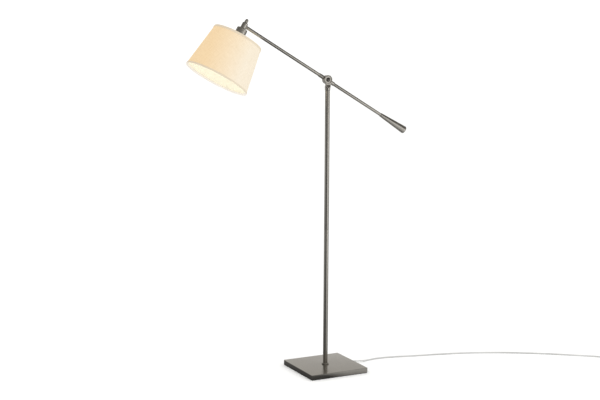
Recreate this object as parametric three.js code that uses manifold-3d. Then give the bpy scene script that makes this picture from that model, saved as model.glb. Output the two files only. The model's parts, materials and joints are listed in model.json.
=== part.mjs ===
// Adjustable arm floor lamp: square weighted base, slim pole, friction pivot with a
// counterweighted boom, and a swivelling lamp head with a tapered drum shade.
// Millimetres, +Z up. The origin is the centre of the base's underside, on the pole's axis.
// The boom lies in a plane parallel to XZ, with the lamp head towards -X.

import * as THREE from 'three';
import { mergeVertices } from 'three/addons/utils/BufferGeometryUtils.js';
import Module from 'manifold-3d';

const wasm = await Module();
wasm.setup();

// ---------------------------------------------------------------- driving dimensions

const GAP = 0.3;                // clearance between pieces that touch
const SLIDE = 0.35;             // radial clearance of a shaft, tube or nut on its thread

const BASE_SIZE = 254;
const BASE_CORNER = 4;
const PAD_HEIGHT = 2;
const BASE_TOP = 21;
const COVER_WALL = 1.2;
const RECESS_RADIUS = 19;
const RECESS_TOP = 14;

const POLE_RADIUS = 9.5;
const POLE_WALL = 1.2;
const PIVOT_HEIGHT = 1175;
const NECK_HEIGHT = 24;         // from the pole's top to the eye's underside
const NECK_RADIUS = 10.75;
const EYE_RADIUS = 18;
const EYE_FRONT = -7.5;
const EYE_BACK = 0.6;

const HUB_RADIUS = 17;
const HUB_FRONT = 2;
const HUB_BACK = 15.6;
const NUT_SEAT = HUB_BACK - 6;
const ARM_OFFSET = (HUB_FRONT + HUB_BACK) / 2;
const ARM_RADIUS = 6.35;
const ARM_WALL = 1;
const REST_TILT = 30;           // degrees above the horizontal, head end up
const HEAD_REACH = 411;         // pivot to the lamp head's axis
const WEIGHT_NEAR = 289;        // pivot to the counterweight's narrow end
const WEIGHT_FAR = 420;
const WEIGHT_NEAR_RADIUS = 7.8;
const WEIGHT_FAR_RADIUS = 15.5;

const SWIVEL_RADIUS = 11;
const CUP_RADIUS = 21;
const CUP_TOP = -12.5;
const CUP_BOTTOM = -64;
const SHADE_TOP = -52;
const SHADE_BOTTOM = -230;
const SHADE_TOP_RADIUS = 99;
const SHADE_BOTTOM_RADIUS = 127;
const SHADE_THICKNESS = 0.9;
const TOP_TRIM_HEIGHT = 8;
const BOTTOM_TRIM_HEIGHT = 6;
const TRIM_THICKNESS = 0.6;
const RING_WIRE = 1.6;
const SHADE_SEGMENTS = 40;
const RING_SEGMENTS = 36;

const WIRE_RADIUS = 1.6;
const CORD_RADIUS = 2.8;
const CORD_SIDES = 8;
const CORD_STEPS = 64;
const CORD_EXIT_Y = 18;
const CORD_EXIT_HEIGHT = 8.5;
const GLAND_TIP = 154;
const COIL_CENTRE = [1226, -384];
const COIL_RADIUS = 31;         // middle of the turns, which lie two wide and two high
const COIL_HALF_WIDTH = 2 * CORD_RADIUS;
const COIL_HEIGHT = 4 * CORD_RADIUS;
const COIL_HEADING = -35;       // degrees, the way the cord runs where it joins the coil
const PLUG_HEIGHT = 6.6;        // middle of the plug above the floor

// ---------------------------------------------------------------- finishes

const FINISHES = {
  nickel: { color: 0x9a958c, roughness: 0.28, metalness: 1 },
  iron: { color: 0x2b2a29, roughness: 0.75, metalness: 0.5 },
  zinc: { color: 0xb9bcc0, roughness: 0.4, metalness: 1 },
  brass: { color: 0xc4a04e, roughness: 0.3, metalness: 1 },
  felt: { color: 0x2c2927, roughness: 0.95, metalness: 0 },
  fibre: { color: 0x3a2a20, roughness: 0.8, metalness: 0 },
  phenolic: { color: 0x1b1a19, roughness: 0.5, metalness: 0 },
  linen: { color: 0xf3e3c6, roughness: 0.9, metalness: 0 },
  trim: { color: 0xd9c9ab, roughness: 0.85, metalness: 0 },
  opal: { color: 0xfdf8ea, roughness: 0.25, metalness: 0 },
  cord: { color: 0xcfcdc8, roughness: 0.4, metalness: 0 },
};

// ---------------------------------------------------------------- geometry helpers

// Rebuilds a geometry as an indexed closed surface of positions only, facing outwards.
function solid(geometry) {
  const bare = geometry.clone();
  bare.deleteAttribute('normal');
  bare.deleteAttribute('uv');
  const merged = mergeVertices(bare, 1e-4);
  const points = merged.attributes.position;
  const source = merged.index.array;
  const corners = [];
  for (let i = 0; i < source.length; i += 3) {
    const [a, b, c] = [source[i], source[i + 1], source[i + 2]];
    if (a !== b && b !== c && c !== a) corners.push(a, b, c);
  }
  const [p, q, r] = [new THREE.Vector3(), new THREE.Vector3(), new THREE.Vector3()];
  let volume = 0;
  for (let i = 0; i < corners.length; i += 3) {
    p.fromBufferAttribute(points, corners[i]);
    q.fromBufferAttribute(points, corners[i + 1]);
    r.fromBufferAttribute(points, corners[i + 2]);
    volume += p.dot(q.cross(r));
  }
  if (volume < 0) corners.reverse();
  merged.setIndex(corners);
  return merged;
}

function toManifold(geometry) {
  return new wasm.Manifold(new wasm.Mesh({
    numProp: 3,
    vertProperties: new Float32Array(geometry.attributes.position.array),
    triVerts: new Uint32Array(geometry.index.array),
  }));
}

function fromManifold(manifold) {
  const mesh = manifold.getMesh();
  const geometry = new THREE.BufferGeometry();
  geometry.setAttribute('position', new THREE.BufferAttribute(mesh.vertProperties, 3));
  geometry.setIndex(new THREE.BufferAttribute(mesh.triVerts, 1));
  return geometry;
}

function join(...pieces) {
  return fromManifold(pieces.map(toManifold).reduce((whole, piece) => whole.add(piece)));
}

function cut(body, ...tools) {
  const whole = toManifold(body);
  return fromManifold(tools.map(toManifold).reduce((rest, tool) => rest.subtract(tool), whole));
}

// Solid of revolution about Z. The profile lists [radius, height] points: it either starts
// and ends on the axis, or is closed on itself here.
function turned(profile, segments = 16) {
  const points = profile.map(([radius, height]) => new THREE.Vector2(radius, height));
  const openOnAxis = profile[0][0] === 0 && profile.at(-1)[0] === 0;
  if (!openOnAxis) points.push(points[0].clone());
  return solid(new THREE.LatheGeometry(points, segments).rotateX(Math.PI / 2));
}

function rod(radius, low, high, segments) {
  return turned([[0, low], [radius, low], [radius, high], [0, high]], segments);
}

function tube(outer, inner, low, high, segments) {
  return turned([[inner, low], [outer, low], [outer, high], [inner, high]], segments);
}

function hexNut(acrossCorners, bore, low, high) {
  return cut(rod(acrossCorners / 2, low, high, 6), rod(bore, low - 1, high + 1, 16));
}

// Quarter-round profile points from angle to angle (degrees) about a centre.
function arc(radius, height, size, from, to, count = 3) {
  const points = [];
  for (let i = 0; i <= count; i += 1) {
    const angle = THREE.MathUtils.degToRad(from + ((to - from) * i) / count);
    points.push([radius + size * Math.cos(angle), height + size * Math.sin(angle)]);
  }
  return points;
}

function alongX(geometry) {
  return geometry.rotateY(Math.PI / 2);
}

function alongY(geometry) {
  return geometry.rotateX(-Math.PI / 2);
}

function roundedSquare(size, corner) {
  const half = size / 2;
  const shape = new THREE.Shape();
  shape.moveTo(corner - half, -half);
  shape.lineTo(half - corner, -half);
  shape.absarc(half - corner, corner - half, corner, -Math.PI / 2, 0);
  shape.absarc(half - corner, half - corner, corner, 0, Math.PI / 2);
  shape.absarc(corner - half, half - corner, corner, Math.PI / 2, Math.PI);
  shape.absarc(corner - half, corner - half, corner, Math.PI, Math.PI * 1.5);
  return shape;
}

function slab(shape, low, high, curveSegments = 4) {
  const options = { depth: high - low, bevelEnabled: false, curveSegments };
  return solid(new THREE.ExtrudeGeometry(shape, options).translate(0, 0, low));
}

function block(sizeX, sizeY, low, high) {
  return solid(new THREE.BoxGeometry(sizeX, sizeY, high - low).translate(0, 0, (low + high) / 2));
}

// Round bar swept along a curve.
function swept(curve, radius, sides, steps) {
  const section = new THREE.Shape();
  for (let i = 0; i < sides; i += 1) {
    const angle = ((i + 0.5) * 2 * Math.PI) / sides;
    const point = [radius * Math.cos(angle), radius * Math.sin(angle)];
    if (i === 0) section.moveTo(...point);
    else section.lineTo(...point);
  }
  return solid(new THREE.ExtrudeGeometry(section, { extrudePath: curve, steps, bevelEnabled: false }));
}

function smoothCurve(points) {
  const knots = points.map((point) => new THREE.Vector3(...point));
  return new THREE.CatmullRomCurve3(knots, false, 'centripetal');
}

const lamp = new THREE.Group();

function addPiece(group, name, finish, geometry) {
  const mesh = new THREE.Mesh(geometry, new THREE.MeshStandardMaterial(FINISHES[finish]));
  mesh.name = name;
  group.add(mesh);
  return mesh;
}

// ---------------------------------------------------------------- base

const NIPPLE_RADIUS = 6.2;
const NIPPLE_BORE = 4.2;
const NIPPLE_BOTTOM = 8.7;
const COLLAR_HEIGHT = 4.7;

// Angle of the straight run from the pole's foot to the cord's exit.
const leadAngle = Math.atan2(CORD_EXIT_Y, BASE_SIZE / 2);

function makeBase() {
  const hole = rod(NIPPLE_RADIUS + SLIDE, 0, BASE_TOP + 1);
  const pad = slab(roundedSquare(BASE_SIZE - 3, BASE_CORNER - 1), 0, PAD_HEIGHT);
  addPiece(lamp, 'base_pad', 'felt', pad);

  const low = PAD_HEIGHT + GAP;
  const plate = roundedSquare(BASE_SIZE - 2 * (COVER_WALL + 0.4), BASE_CORNER - 1.5);
  const groove = block(BASE_SIZE / 2, 8, low - 1, 12).translate(BASE_SIZE / 4, 0, 0).rotateZ(leadAngle);
  const exitPocket = block(8, 13, low - 1, 15).translate(BASE_SIZE / 2 - 3, CORD_EXIT_Y, 0);
  const recess = rod(RECESS_RADIUS, low - 1, RECESS_TOP, 24);
  const weight = cut(slab(plate, low, BASE_TOP - COVER_WALL - GAP), hole, recess, groove, exitPocket);
  addPiece(lamp, 'base_weight', 'iron', weight);

  const edge = 0.8;
  const bevel = { bevelEnabled: true, bevelThickness: edge, bevelSize: edge, bevelSegments: 1 };
  const outline = roundedSquare(BASE_SIZE - 2 * edge, BASE_CORNER - edge);
  const depth = BASE_TOP - low - 2 * edge;
  const extruded = new THREE.ExtrudeGeometry(outline, { depth, curveSegments: 3, ...bevel });
  const shell = solid(extruded.translate(0, 0, low + edge));
  const hollow = roundedSquare(BASE_SIZE - 2 * COVER_WALL, BASE_CORNER - COVER_WALL);
  const inside = slab(hollow, low - 1, BASE_TOP - COVER_WALL);
  const exitHole = alongX(rod(5.2, 0, 8, 16)).translate(BASE_SIZE / 2 - 4, CORD_EXIT_Y, CORD_EXIT_HEIGHT);
  addPiece(lamp, 'base_cover', 'nickel', cut(shell, inside, hole, exitHole));
}

function makeFoot() {
  addPiece(lamp, 'foot_nipple', 'zinc', tube(NIPPLE_RADIUS, NIPPLE_BORE, NIPPLE_BOTTOM, 48));
  addPiece(lamp, 'foot_washer', 'zinc', tube(15, NIPPLE_RADIUS + SLIDE, 12.2, RECESS_TOP - GAP));
  addPiece(lamp, 'foot_nut', 'zinc', hexNut(21, NIPPLE_RADIUS + SLIDE, 9, 11.9));
  const bottom = BASE_TOP + GAP;
  const top = bottom + COLLAR_HEIGHT;
  const collar = [
    [POLE_RADIUS + SLIDE, bottom],
    [14.7, bottom],
    ...arc(13.5, top - 1.2, 1.2, 0, 90, 2),
    [POLE_RADIUS + SLIDE, top],
  ];
  addPiece(lamp, 'foot_collar', 'nickel', turned(collar, 24));
  const bushBore = NIPPLE_RADIUS + SLIDE;
  addPiece(lamp, 'foot_bush', 'zinc', tube(POLE_RADIUS - POLE_WALL - GAP, bushBore, bottom, 50));
}

// ---------------------------------------------------------------- pole

const NECK_BOTTOM = PIVOT_HEIGHT - EYE_RADIUS - NECK_HEIGHT;
const POLE_TOP = NECK_BOTTOM - 0.4;
const STUD_RADIUS = 5.1;
const STUD_BORE = 3.2;

function makePole() {
  const bottom = BASE_TOP + GAP;
  const middle = (bottom + POLE_TOP) / 2;
  const inner = POLE_RADIUS - POLE_WALL;
  addPiece(lamp, 'mast_lower', 'nickel', tube(POLE_RADIUS, inner, bottom, middle - GAP / 2, 24));
  addPiece(lamp, 'mast_upper', 'nickel', tube(POLE_RADIUS, inner, middle + GAP / 2, POLE_TOP, 24));
  addPiece(lamp, 'mast_coupler', 'zinc', tube(inner - GAP, 5.5, middle - 25, middle + 25));
  addPiece(lamp, 'top_bush', 'zinc', tube(inner - GAP, STUD_RADIUS + SLIDE, POLE_TOP - 26, POLE_TOP));
  addPiece(lamp, 'mast_wire', 'cord', rod(WIRE_RADIUS, 14, NECK_BOTTOM + 16, 8));
}

// ---------------------------------------------------------------- swivelling neck and pivot

const BOLT_RADIUS = 3;
const RECESS_DEPTH = 2.2;

function teardrop() {
  const tipHalfWidth = 7.6;
  const tipDrop = EYE_RADIUS + 22;
  const tipAngle = Math.atan2(tipDrop, tipHalfWidth);
  const reach = Math.hypot(tipDrop, tipHalfWidth);
  const tangent = Math.acos(EYE_RADIUS / reach);
  const start = -tipAngle + tangent;
  const shape = new THREE.Shape();
  shape.moveTo(-tipHalfWidth, -tipDrop);
  shape.lineTo(tipHalfWidth, -tipDrop);
  shape.absarc(0, 0, EYE_RADIUS, start, Math.PI - start);
  shape.lineTo(-tipHalfWidth, -tipDrop);
  return shape;
}

function makeNeck() {
  const neck = turned([
    [0, NECK_BOTTOM],
    [NECK_RADIUS - 0.6, NECK_BOTTOM],
    [NECK_RADIUS, NECK_BOTTOM + 0.6],
    [NECK_RADIUS, NECK_BOTTOM + NECK_HEIGHT - 13],
    [NECK_RADIUS - 1.5, NECK_BOTTOM + NECK_HEIGHT - 6],
    [NECK_RADIUS - 5, NECK_BOTTOM + NECK_HEIGHT - 2],
    [0, NECK_BOTTOM + NECK_HEIGHT - 1],
  ], 24);
  // An outline drawn in XY with its depth along +Z is turned to stand in XZ.
  const plate = slab(teardrop(), 0, EYE_BACK - EYE_FRONT, 10)
    .rotateX(Math.PI / 2)
    .translate(0, EYE_BACK, PIVOT_HEIGHT);
  const toPivot = (geometry) => alongY(geometry).translate(0, 0, PIVOT_HEIGHT);
  const eye = cut(
    join(neck, plate),
    toPivot(rod(BOLT_RADIUS + SLIDE, -20, 20, 16)),
    toPivot(rod(13.5, EYE_FRONT - 5, EYE_FRONT + RECESS_DEPTH, 24)),
    rod(STUD_RADIUS + SLIDE, NECK_BOTTOM - 1, NECK_BOTTOM + 17, 16),
    rod(STUD_BORE, NECK_BOTTOM, PIVOT_HEIGHT - 12, 12),
  );
  addPiece(lamp, 'swivel_neck', 'nickel', eye);
  addPiece(lamp, 'swivel_stud', 'zinc', tube(STUD_RADIUS, STUD_BORE, POLE_TOP - 40, NECK_BOTTOM + 15));
  const nut = hexNut(15.4, STUD_RADIUS + SLIDE, POLE_TOP - 32, POLE_TOP - 26.4);
  addPiece(lamp, 'stud_nut', 'zinc', nut);
}

function makePivot() {
  const seat = EYE_FRONT + RECESS_DEPTH - GAP;
  const bolt = turned([
    [0, seat - 4.4],
    [3.2, seat - 4.1],
    [6, seat - 3.1],
    [7.8, seat - 1.5],
    [8.4, seat],
    [BOLT_RADIUS, seat],
    [BOLT_RADIUS, HUB_BACK - 0.4],
    [0, HUB_BACK - 0.4],
  ], 24);
  const bore = BOLT_RADIUS + SLIDE;
  const pieces = {
    pivot_bolt: ['nickel', bolt],
    friction_washer: ['fibre', tube(8.5, bore, EYE_BACK + GAP, HUB_FRONT - GAP)],
    spring_washer: ['zinc', tube(6.4, bore, NUT_SEAT + GAP, NUT_SEAT + 1.5)],
    pivot_nut: ['zinc', hexNut(12.4, bore, NUT_SEAT + 1.8, HUB_BACK - 0.7)],
  };
  for (const [name, [finish, geometry]] of Object.entries(pieces)) {
    addPiece(lamp, name, finish, alongY(geometry).translate(0, 0, PIVOT_HEIGHT));
  }
}

// ---------------------------------------------------------------- boom

// The boom's own X axis runs along the arm, away from the lamp head.
const boom = new THREE.Group();
boom.position.set(0, 0, PIVOT_HEIGHT);
boom.rotation.y = THREE.MathUtils.degToRad(REST_TILT);
lamp.add(boom);

const armBore = ARM_RADIUS - ARM_WALL;
const FERRULE_START = HUB_RADIUS + 0.6;
const FERRULE_END = 38;
const HEAD_END = HEAD_REACH - 13;
const SPIGOT_NECK = 3.2;
const INSERT_BORE = 3.35;

function onArm(geometry) {
  return alongX(geometry).translate(0, ARM_OFFSET, 0);
}

function makeHub() {
  const disc = alongY(turned([
    [0, HUB_FRONT],
    [HUB_RADIUS - 0.8, HUB_FRONT],
    [HUB_RADIUS, HUB_FRONT + 0.8],
    [HUB_RADIUS, HUB_BACK - 1.2],
    [HUB_RADIUS - 1.2, HUB_BACK],
    [0, HUB_BACK],
  ], 24));
  const stubLength = 44;
  const stubs = onArm(rod(armBore - GAP, -stubLength, stubLength, 16));
  const wireway = onArm(rod(2.6, -stubLength - 1, -9, 12));
  const nutPocket = alongY(rod(8.3, NUT_SEAT, HUB_BACK + 1, 16));
  const wirePocket = alongY(tube(15, 9.2, HUB_FRONT - 1, HUB_FRONT + 5.6, 16));
  const bore = alongY(rod(BOLT_RADIUS + SLIDE, -1, 20, 16));
  addPiece(boom, 'arm_hub', 'nickel', cut(join(disc, stubs), wireway, nutPocket, wirePocket, bore));

  const back = HUB_BACK + GAP;
  const cap = turned([
    [0, back],
    [7.1, back],
    [7.1, back - 2.6],
    [7.9, back - 2.6],
    [7.9, back],
    [10.8, back],
    [10.5, back + 1.2],
    [8.6, back + 2.3],
    [4.6, back + 3],
    [0, back + 3.2],
  ], 20);
  addPiece(boom, 'hub_cap', 'nickel', alongY(cap));
}

function makeArms() {
  const ferrule = [
    [ARM_RADIUS + GAP, FERRULE_START],
    [7.2, FERRULE_START],
    [7.8, FERRULE_START + 0.6],
    [7.8, FERRULE_END - 1.6],
    [7.2, FERRULE_END],
    [ARM_RADIUS + GAP, FERRULE_END],
  ];
  addPiece(boom, 'rear_ferrule', 'nickel', onArm(turned(ferrule, 20)));
  const mirrored = ferrule.map(([radius, distance]) => [radius, -distance]);
  addPiece(boom, 'front_ferrule', 'nickel', onArm(turned(mirrored, 20)));
  const start = HUB_RADIUS + 1;
  addPiece(boom, 'front_arm', 'nickel', onArm(tube(ARM_RADIUS, armBore, -HEAD_END, -start, 20)));
  addPiece(boom, 'rear_arm', 'nickel', onArm(tube(ARM_RADIUS, armBore, start, WEIGHT_NEAR + 22, 20)));
  addPiece(boom, 'arm_wire', 'cord', onArm(rod(WIRE_RADIUS, -HEAD_REACH + 3, -20, 8)));
}

function makeCounterweight() {
  const pocket = WEIGHT_NEAR + 22.5;
  const profile = [
    [0, pocket + 35],
    [INSERT_BORE, pocket + 35],
    [INSERT_BORE, pocket],
    [ARM_RADIUS + GAP, pocket],
    [ARM_RADIUS + GAP, WEIGHT_NEAR],
    [WEIGHT_NEAR_RADIUS - 0.6, WEIGHT_NEAR],
    [WEIGHT_NEAR_RADIUS, WEIGHT_NEAR + 0.8],
    [WEIGHT_FAR_RADIUS - 0.1, WEIGHT_FAR - 5],
    ...arc(WEIGHT_FAR_RADIUS - 2.4, WEIGHT_FAR - 2.4, 2.4, 0, 90, 2),
    [0, WEIGHT_FAR],
  ];
  addPiece(boom, 'counterweight', 'nickel', onArm(turned(profile, 24)));
  const insert = tube(armBore - GAP, INSERT_BORE, WEIGHT_NEAR - 6, WEIGHT_NEAR + 21.6, 16);
  addPiece(boom, 'rear_arm_insert', 'zinc', onArm(insert));
  addPiece(boom, 'counterweight_stud', 'zinc', onArm(rod(3, WEIGHT_NEAR, pocket + 34, 12)));
}

// ---------------------------------------------------------------- lamp head

// The head's own Z axis is the socket's, square to the arm, with the shade below.
const head = new THREE.Group();
head.position.set(-HEAD_REACH, ARM_OFFSET, 0);
boom.add(head);

const SHAFT_RADIUS = 1.8;
const CAVITY_RADIUS = 7;
const BODY_TOP = 13;
const BODY_BOTTOM = -12.2;
const HOLDER_RADIUS = 18.6;
const HOLDER_BOTTOM = -90;

function makeHeadJoint() {
  const spigot = turned([
    [2.2, 2.4],
    [SPIGOT_NECK, 2.4],
    [SPIGOT_NECK, 13.3],
    [armBore - GAP, 13.3],
    [armBore - GAP, 40],
    [2.2, 40],
  ], 16);
  addPiece(head, 'head_spigot', 'zinc', alongX(spigot));
  addPiece(head, 'spigot_nut', 'zinc', alongX(tube(4.6, SPIGOT_NECK + SLIDE, 2.8, 4.6, 12)));
  addPiece(head, 'head_washer', 'fibre', alongX(tube(6.2, SPIGOT_NECK + SLIDE, 11.9, 12.7)));

  const casing = turned([
    [0, BODY_BOTTOM],
    [SWIVEL_RADIUS - 1, BODY_BOTTOM],
    [SWIVEL_RADIUS, BODY_BOTTOM + 1],
    [SWIVEL_RADIUS, BODY_TOP - 3],
    [SWIVEL_RADIUS - 0.9, BODY_TOP - 1],
    [SWIVEL_RADIUS - 3, BODY_TOP],
    [0, BODY_TOP],
  ], 20);
  const boss = alongX(rod(6.9, 7, SWIVEL_RADIUS + 0.6, 16));
  const body = cut(
    join(casing, boss),
    rod(CAVITY_RADIUS, BODY_BOTTOM + 3.2, BODY_TOP - 3, 16),
    rod(SHAFT_RADIUS + SLIDE, BODY_TOP - 4, BODY_TOP + 1, 12),
    rod(5.4, BODY_BOTTOM - 1, BODY_BOTTOM + 4, 16),
    alongX(rod(SPIGOT_NECK + SLIDE, 4, 14, 16)),
  );
  addPiece(head, 'swivel_body', 'nickel', body);
}

function makeSwitch() {
  const low = BODY_TOP + 0.4;
  const knob = turned([
    [SHAFT_RADIUS + SLIDE, low],
    [6.2, low],
    [6.75, low + 0.8],
    [6.75, low + 9],
    ...arc(2.75, low + 11.5, 4, 0, 80, 3),
    [0, low + 15.8],
    [0, low + 8.6],
    [SHAFT_RADIUS + SLIDE, low + 8.6],
  ], 20);
  addPiece(head, 'switch_knob', 'nickel', knob);
  addPiece(head, 'switch_shaft', 'zinc', rod(SHAFT_RADIUS, -30, low + 8, 12));
  const housing = cut(rod(13, -38, -20.5, 20), rod(SHAFT_RADIUS + SLIDE, -31, -19, 12));
  addPiece(head, 'switch_housing', 'phenolic', housing);
}

function makeSocket() {
  addPiece(head, 'socket_nipple', 'zinc', tube(5.05, 3, -18, -6.4, 16));
  addPiece(head, 'upper_locknut', 'zinc', tube(6.5, 5.4, BODY_BOTTOM + 3.5, -6.9, 16));
  addPiece(head, 'lower_locknut', 'zinc', hexNut(17, 5.4, -16.6, CUP_TOP - 1.3));
  const wall = 1;
  const cup = [
    [5.4, CUP_TOP],
    ...arc(CUP_RADIUS - 3, CUP_TOP - 3, 3, 90, 0, 2),
    [CUP_RADIUS, CUP_BOTTOM + 4],
    [CUP_RADIUS + 0.8, CUP_BOTTOM + 3],
    [CUP_RADIUS + 0.8, CUP_BOTTOM],
    [CUP_RADIUS - wall, CUP_BOTTOM],
    ...arc(CUP_RADIUS - 3, CUP_TOP - 3, 3 - wall, 0, 90, 2),
    [5.4, CUP_TOP - wall],
  ];
  addPiece(head, 'socket_cup', 'nickel', turned(cup, 24));
  const holder = [
    [0, -40],
    [HOLDER_RADIUS, -40],
    [HOLDER_RADIUS, HOLDER_BOTTOM + 1],
    [HOLDER_RADIUS - 1, HOLDER_BOTTOM],
    [14.7, HOLDER_BOTTOM],
    [14.7, -52],
    [0, -52],
  ];
  addPiece(head, 'lampholder', 'phenolic', turned(holder, 20));
  addPiece(head, 'screw_shell', 'brass', tube(14.3, 13.8, -84, -56, 20));
  addPiece(head, 'centre_contact', 'brass', rod(3.5, -54.6, -52.4, 12));
  addPiece(head, 'ring_nut', 'phenolic', tube(25.5, HOLDER_RADIUS + SLIDE, -76, CUP_BOTTOM - 4.7, 20));
}

function makeBulb() {
  const cap = [
    [0, -55],
    [4.5, -55],
    [8.5, -58],
    [13.3, -61],
    [13.3, -82],
    [12.6, -82],
    [12.6, -61.6],
    [8.2, -59],
    [0, -57],
  ];
  addPiece(head, 'bulb_cap', 'brass', turned(cap, 20));
  // The globe is most of a circle, then a slope up to the straight neck inside the cap.
  const globe = (offset) => arc(0, -134, 30 - offset, -90, 30, 6);
  const neck = (offset) => [
    [17.5 - offset, -100],
    [13.6 - offset, -91],
    [12.2 - offset, -83],
    [12.2 - offset, -66],
  ];
  const wall = 1.1;
  const outline = [...globe(0), ...neck(0), ...neck(wall).reverse(), ...globe(wall).reverse()];
  const snapped = outline.map(([radius, height]) => [Math.abs(radius) < 1e-6 ? 0 : radius, height]);
  addPiece(head, 'bulb_globe', 'opal', turned(snapped, 20));
}

// ---------------------------------------------------------------- shade

const shadeSlope = (SHADE_BOTTOM_RADIUS - SHADE_TOP_RADIUS) / (SHADE_TOP - SHADE_BOTTOM);

function shadeRadius(height) {
  return SHADE_TOP_RADIUS + (SHADE_TOP - height) * shadeSlope;
}

// Folded binding tape over one rim: direction is -1 for the top rim and 1 for the bottom.
function binding(rim, direction, height) {
  const edge = rim - direction * GAP;
  const outerEdge = edge - direction * TRIM_THICKNESS;
  const end = rim + direction * height;
  const outside = GAP;
  const inside = -SHADE_THICKNESS - GAP;
  const at = (offset, level) => [shadeRadius(level) + offset, level];
  return turned([
    at(outside, end),
    at(outside, edge),
    at(inside, edge),
    at(inside, end),
    at(inside - TRIM_THICKNESS, end),
    at(inside - TRIM_THICKNESS, outerEdge),
    at(outside + TRIM_THICKNESS, outerEdge),
    at(outside + TRIM_THICKNESS, end),
  ], SHADE_SEGMENTS);
}

function wireRing(radius, height) {
  const section = [];
  for (let i = 0; i < 5; i += 1) {
    const angle = (i * 2 * Math.PI) / 5;
    section.push([radius + RING_WIRE * Math.cos(angle), height + RING_WIRE * Math.sin(angle)]);
  }
  return turned(section, RING_SEGMENTS);
}

function makeShade() {
  const fabric = [
    [shadeRadius(SHADE_TOP), SHADE_TOP],
    [shadeRadius(SHADE_BOTTOM), SHADE_BOTTOM],
    [shadeRadius(SHADE_BOTTOM) - SHADE_THICKNESS, SHADE_BOTTOM],
    [shadeRadius(SHADE_TOP) - SHADE_THICKNESS, SHADE_TOP],
  ];
  addPiece(head, 'shade_fabric', 'linen', turned(fabric, SHADE_SEGMENTS));
  addPiece(head, 'shade_top_trim', 'trim', binding(SHADE_TOP, -1, TOP_TRIM_HEIGHT));
  addPiece(head, 'shade_bottom_trim', 'trim', binding(SHADE_BOTTOM, 1, BOTTOM_TRIM_HEIGHT));

  const ringInset = SHADE_THICKNESS + TRIM_THICKNESS + 2 * GAP + RING_WIRE;
  const topRing = shadeRadius(SHADE_TOP - 4) - ringInset - 0.4;
  const bottomRing = shadeRadius(SHADE_BOTTOM + 4) - ringInset - 0.6;
  const plateHigh = CUP_BOTTOM - 2;
  const plateLow = plateHigh - 1.9;
  const plate = tube(24.5, HOLDER_RADIUS + SLIDE, plateLow, plateHigh, 24);
  let spider = join(plate, wireRing(topRing, SHADE_TOP - 4));
  for (let i = 0; i < 3; i += 1) {
    const curve = smoothCurve([
      [22, 0, (plateLow + plateHigh) / 2],
      [36, 0, (plateLow + plateHigh) / 2 + 0.6],
      [topRing - 16, 0, SHADE_TOP - 7],
      [topRing, 0, SHADE_TOP - 4],
    ]);
    const arm = swept(curve, 1.4, 6, 6).rotateZ(Math.PI + (i * 2 * Math.PI) / 3);
    spider = join(spider, arm);
  }
  addPiece(head, 'shade_spider', 'nickel', spider);
  addPiece(head, 'shade_bottom_ring', 'nickel', wireRing(bottomRing, SHADE_BOTTOM + 4));
}

// ---------------------------------------------------------------- power cord

const floorHeight = CORD_RADIUS + 0.05;

// Free stretch from the strain relief to where the coil begins.
const CORD_ROUTE = [
  [GLAND_TIP + GAP, 18, 8.5],
  [168, 18.9, 7.9],
  [186, 22, 5.6],
  [206, 26.4, 3.4],
  [228, 30.5, floorHeight],
  [262, 34.5, floorHeight],
  [300, 32.4, floorHeight],
  [345, 23.5, floorHeight],
  [395, 10.5, floorHeight],
  [450, -4.5, floorHeight],
  [510, -18, floorHeight],
  [575, -34, floorHeight],
  [645, -55, floorHeight],
  [720, -84, floorHeight],
  [800, -122, floorHeight],
  [880, -168, floorHeight],
  [960, -220, floorHeight],
  [1040, -280, floorHeight],
  [1110, -334, floorHeight],
];

// Moves a geometry or point to where the cord meets the coil's outer turn: X runs the cord's way.
function atCoil(placed) {
  const outerTurn = COIL_RADIUS + CORD_RADIUS;
  const heading = THREE.MathUtils.degToRad(COIL_HEADING);
  const x = COIL_CENTRE[0] + outerTurn * Math.sin(heading);
  const y = COIL_CENTRE[1] - outerTurn * Math.cos(heading);
  return placed.applyMatrix4(new THREE.Matrix4().makeRotationZ(heading).setPosition(x, y, 0));
}

const COIL_APPROACH = 25;       // how far short of the coil frame the free cord stops
const TAIL_END = 72;            // how far beyond it the plug's sleeve starts

function makeGland() {
  const gland = turned([
    [0, BASE_SIZE / 2 - 6],
    [4.8, BASE_SIZE / 2 - 6],
    [4.8, BASE_SIZE / 2 + GAP],
    [6.6, BASE_SIZE / 2 + GAP],
    [6.6, BASE_SIZE / 2 + 2],
    [5.4, BASE_SIZE / 2 + 2.6],
    [3.5, GLAND_TIP],
    [0, GLAND_TIP],
  ], 16);
  addPiece(lamp, 'cord_gland', 'cord', alongX(gland).translate(0, CORD_EXIT_Y, CORD_EXIT_HEIGHT));

  const start = BASE_SIZE / 2 - 7;
  const leadStart = [start * Math.cos(leadAngle), start * Math.sin(leadAngle), 7.5];
  const lead = smoothCurve([
    leadStart,
    [60, 60 * Math.tan(leadAngle), 5.4],
    [25, 25 * Math.tan(leadAngle), 5],
    [9, 9 * Math.tan(leadAngle), 5],
    [3, 3 * Math.tan(leadAngle), 6.4],
    [0, 0, 10],
    [0, 0, 13.6],
  ]);
  addPiece(lamp, 'base_lead', 'cord', swept(lead, WIRE_RADIUS, 6, 30));
}

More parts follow.
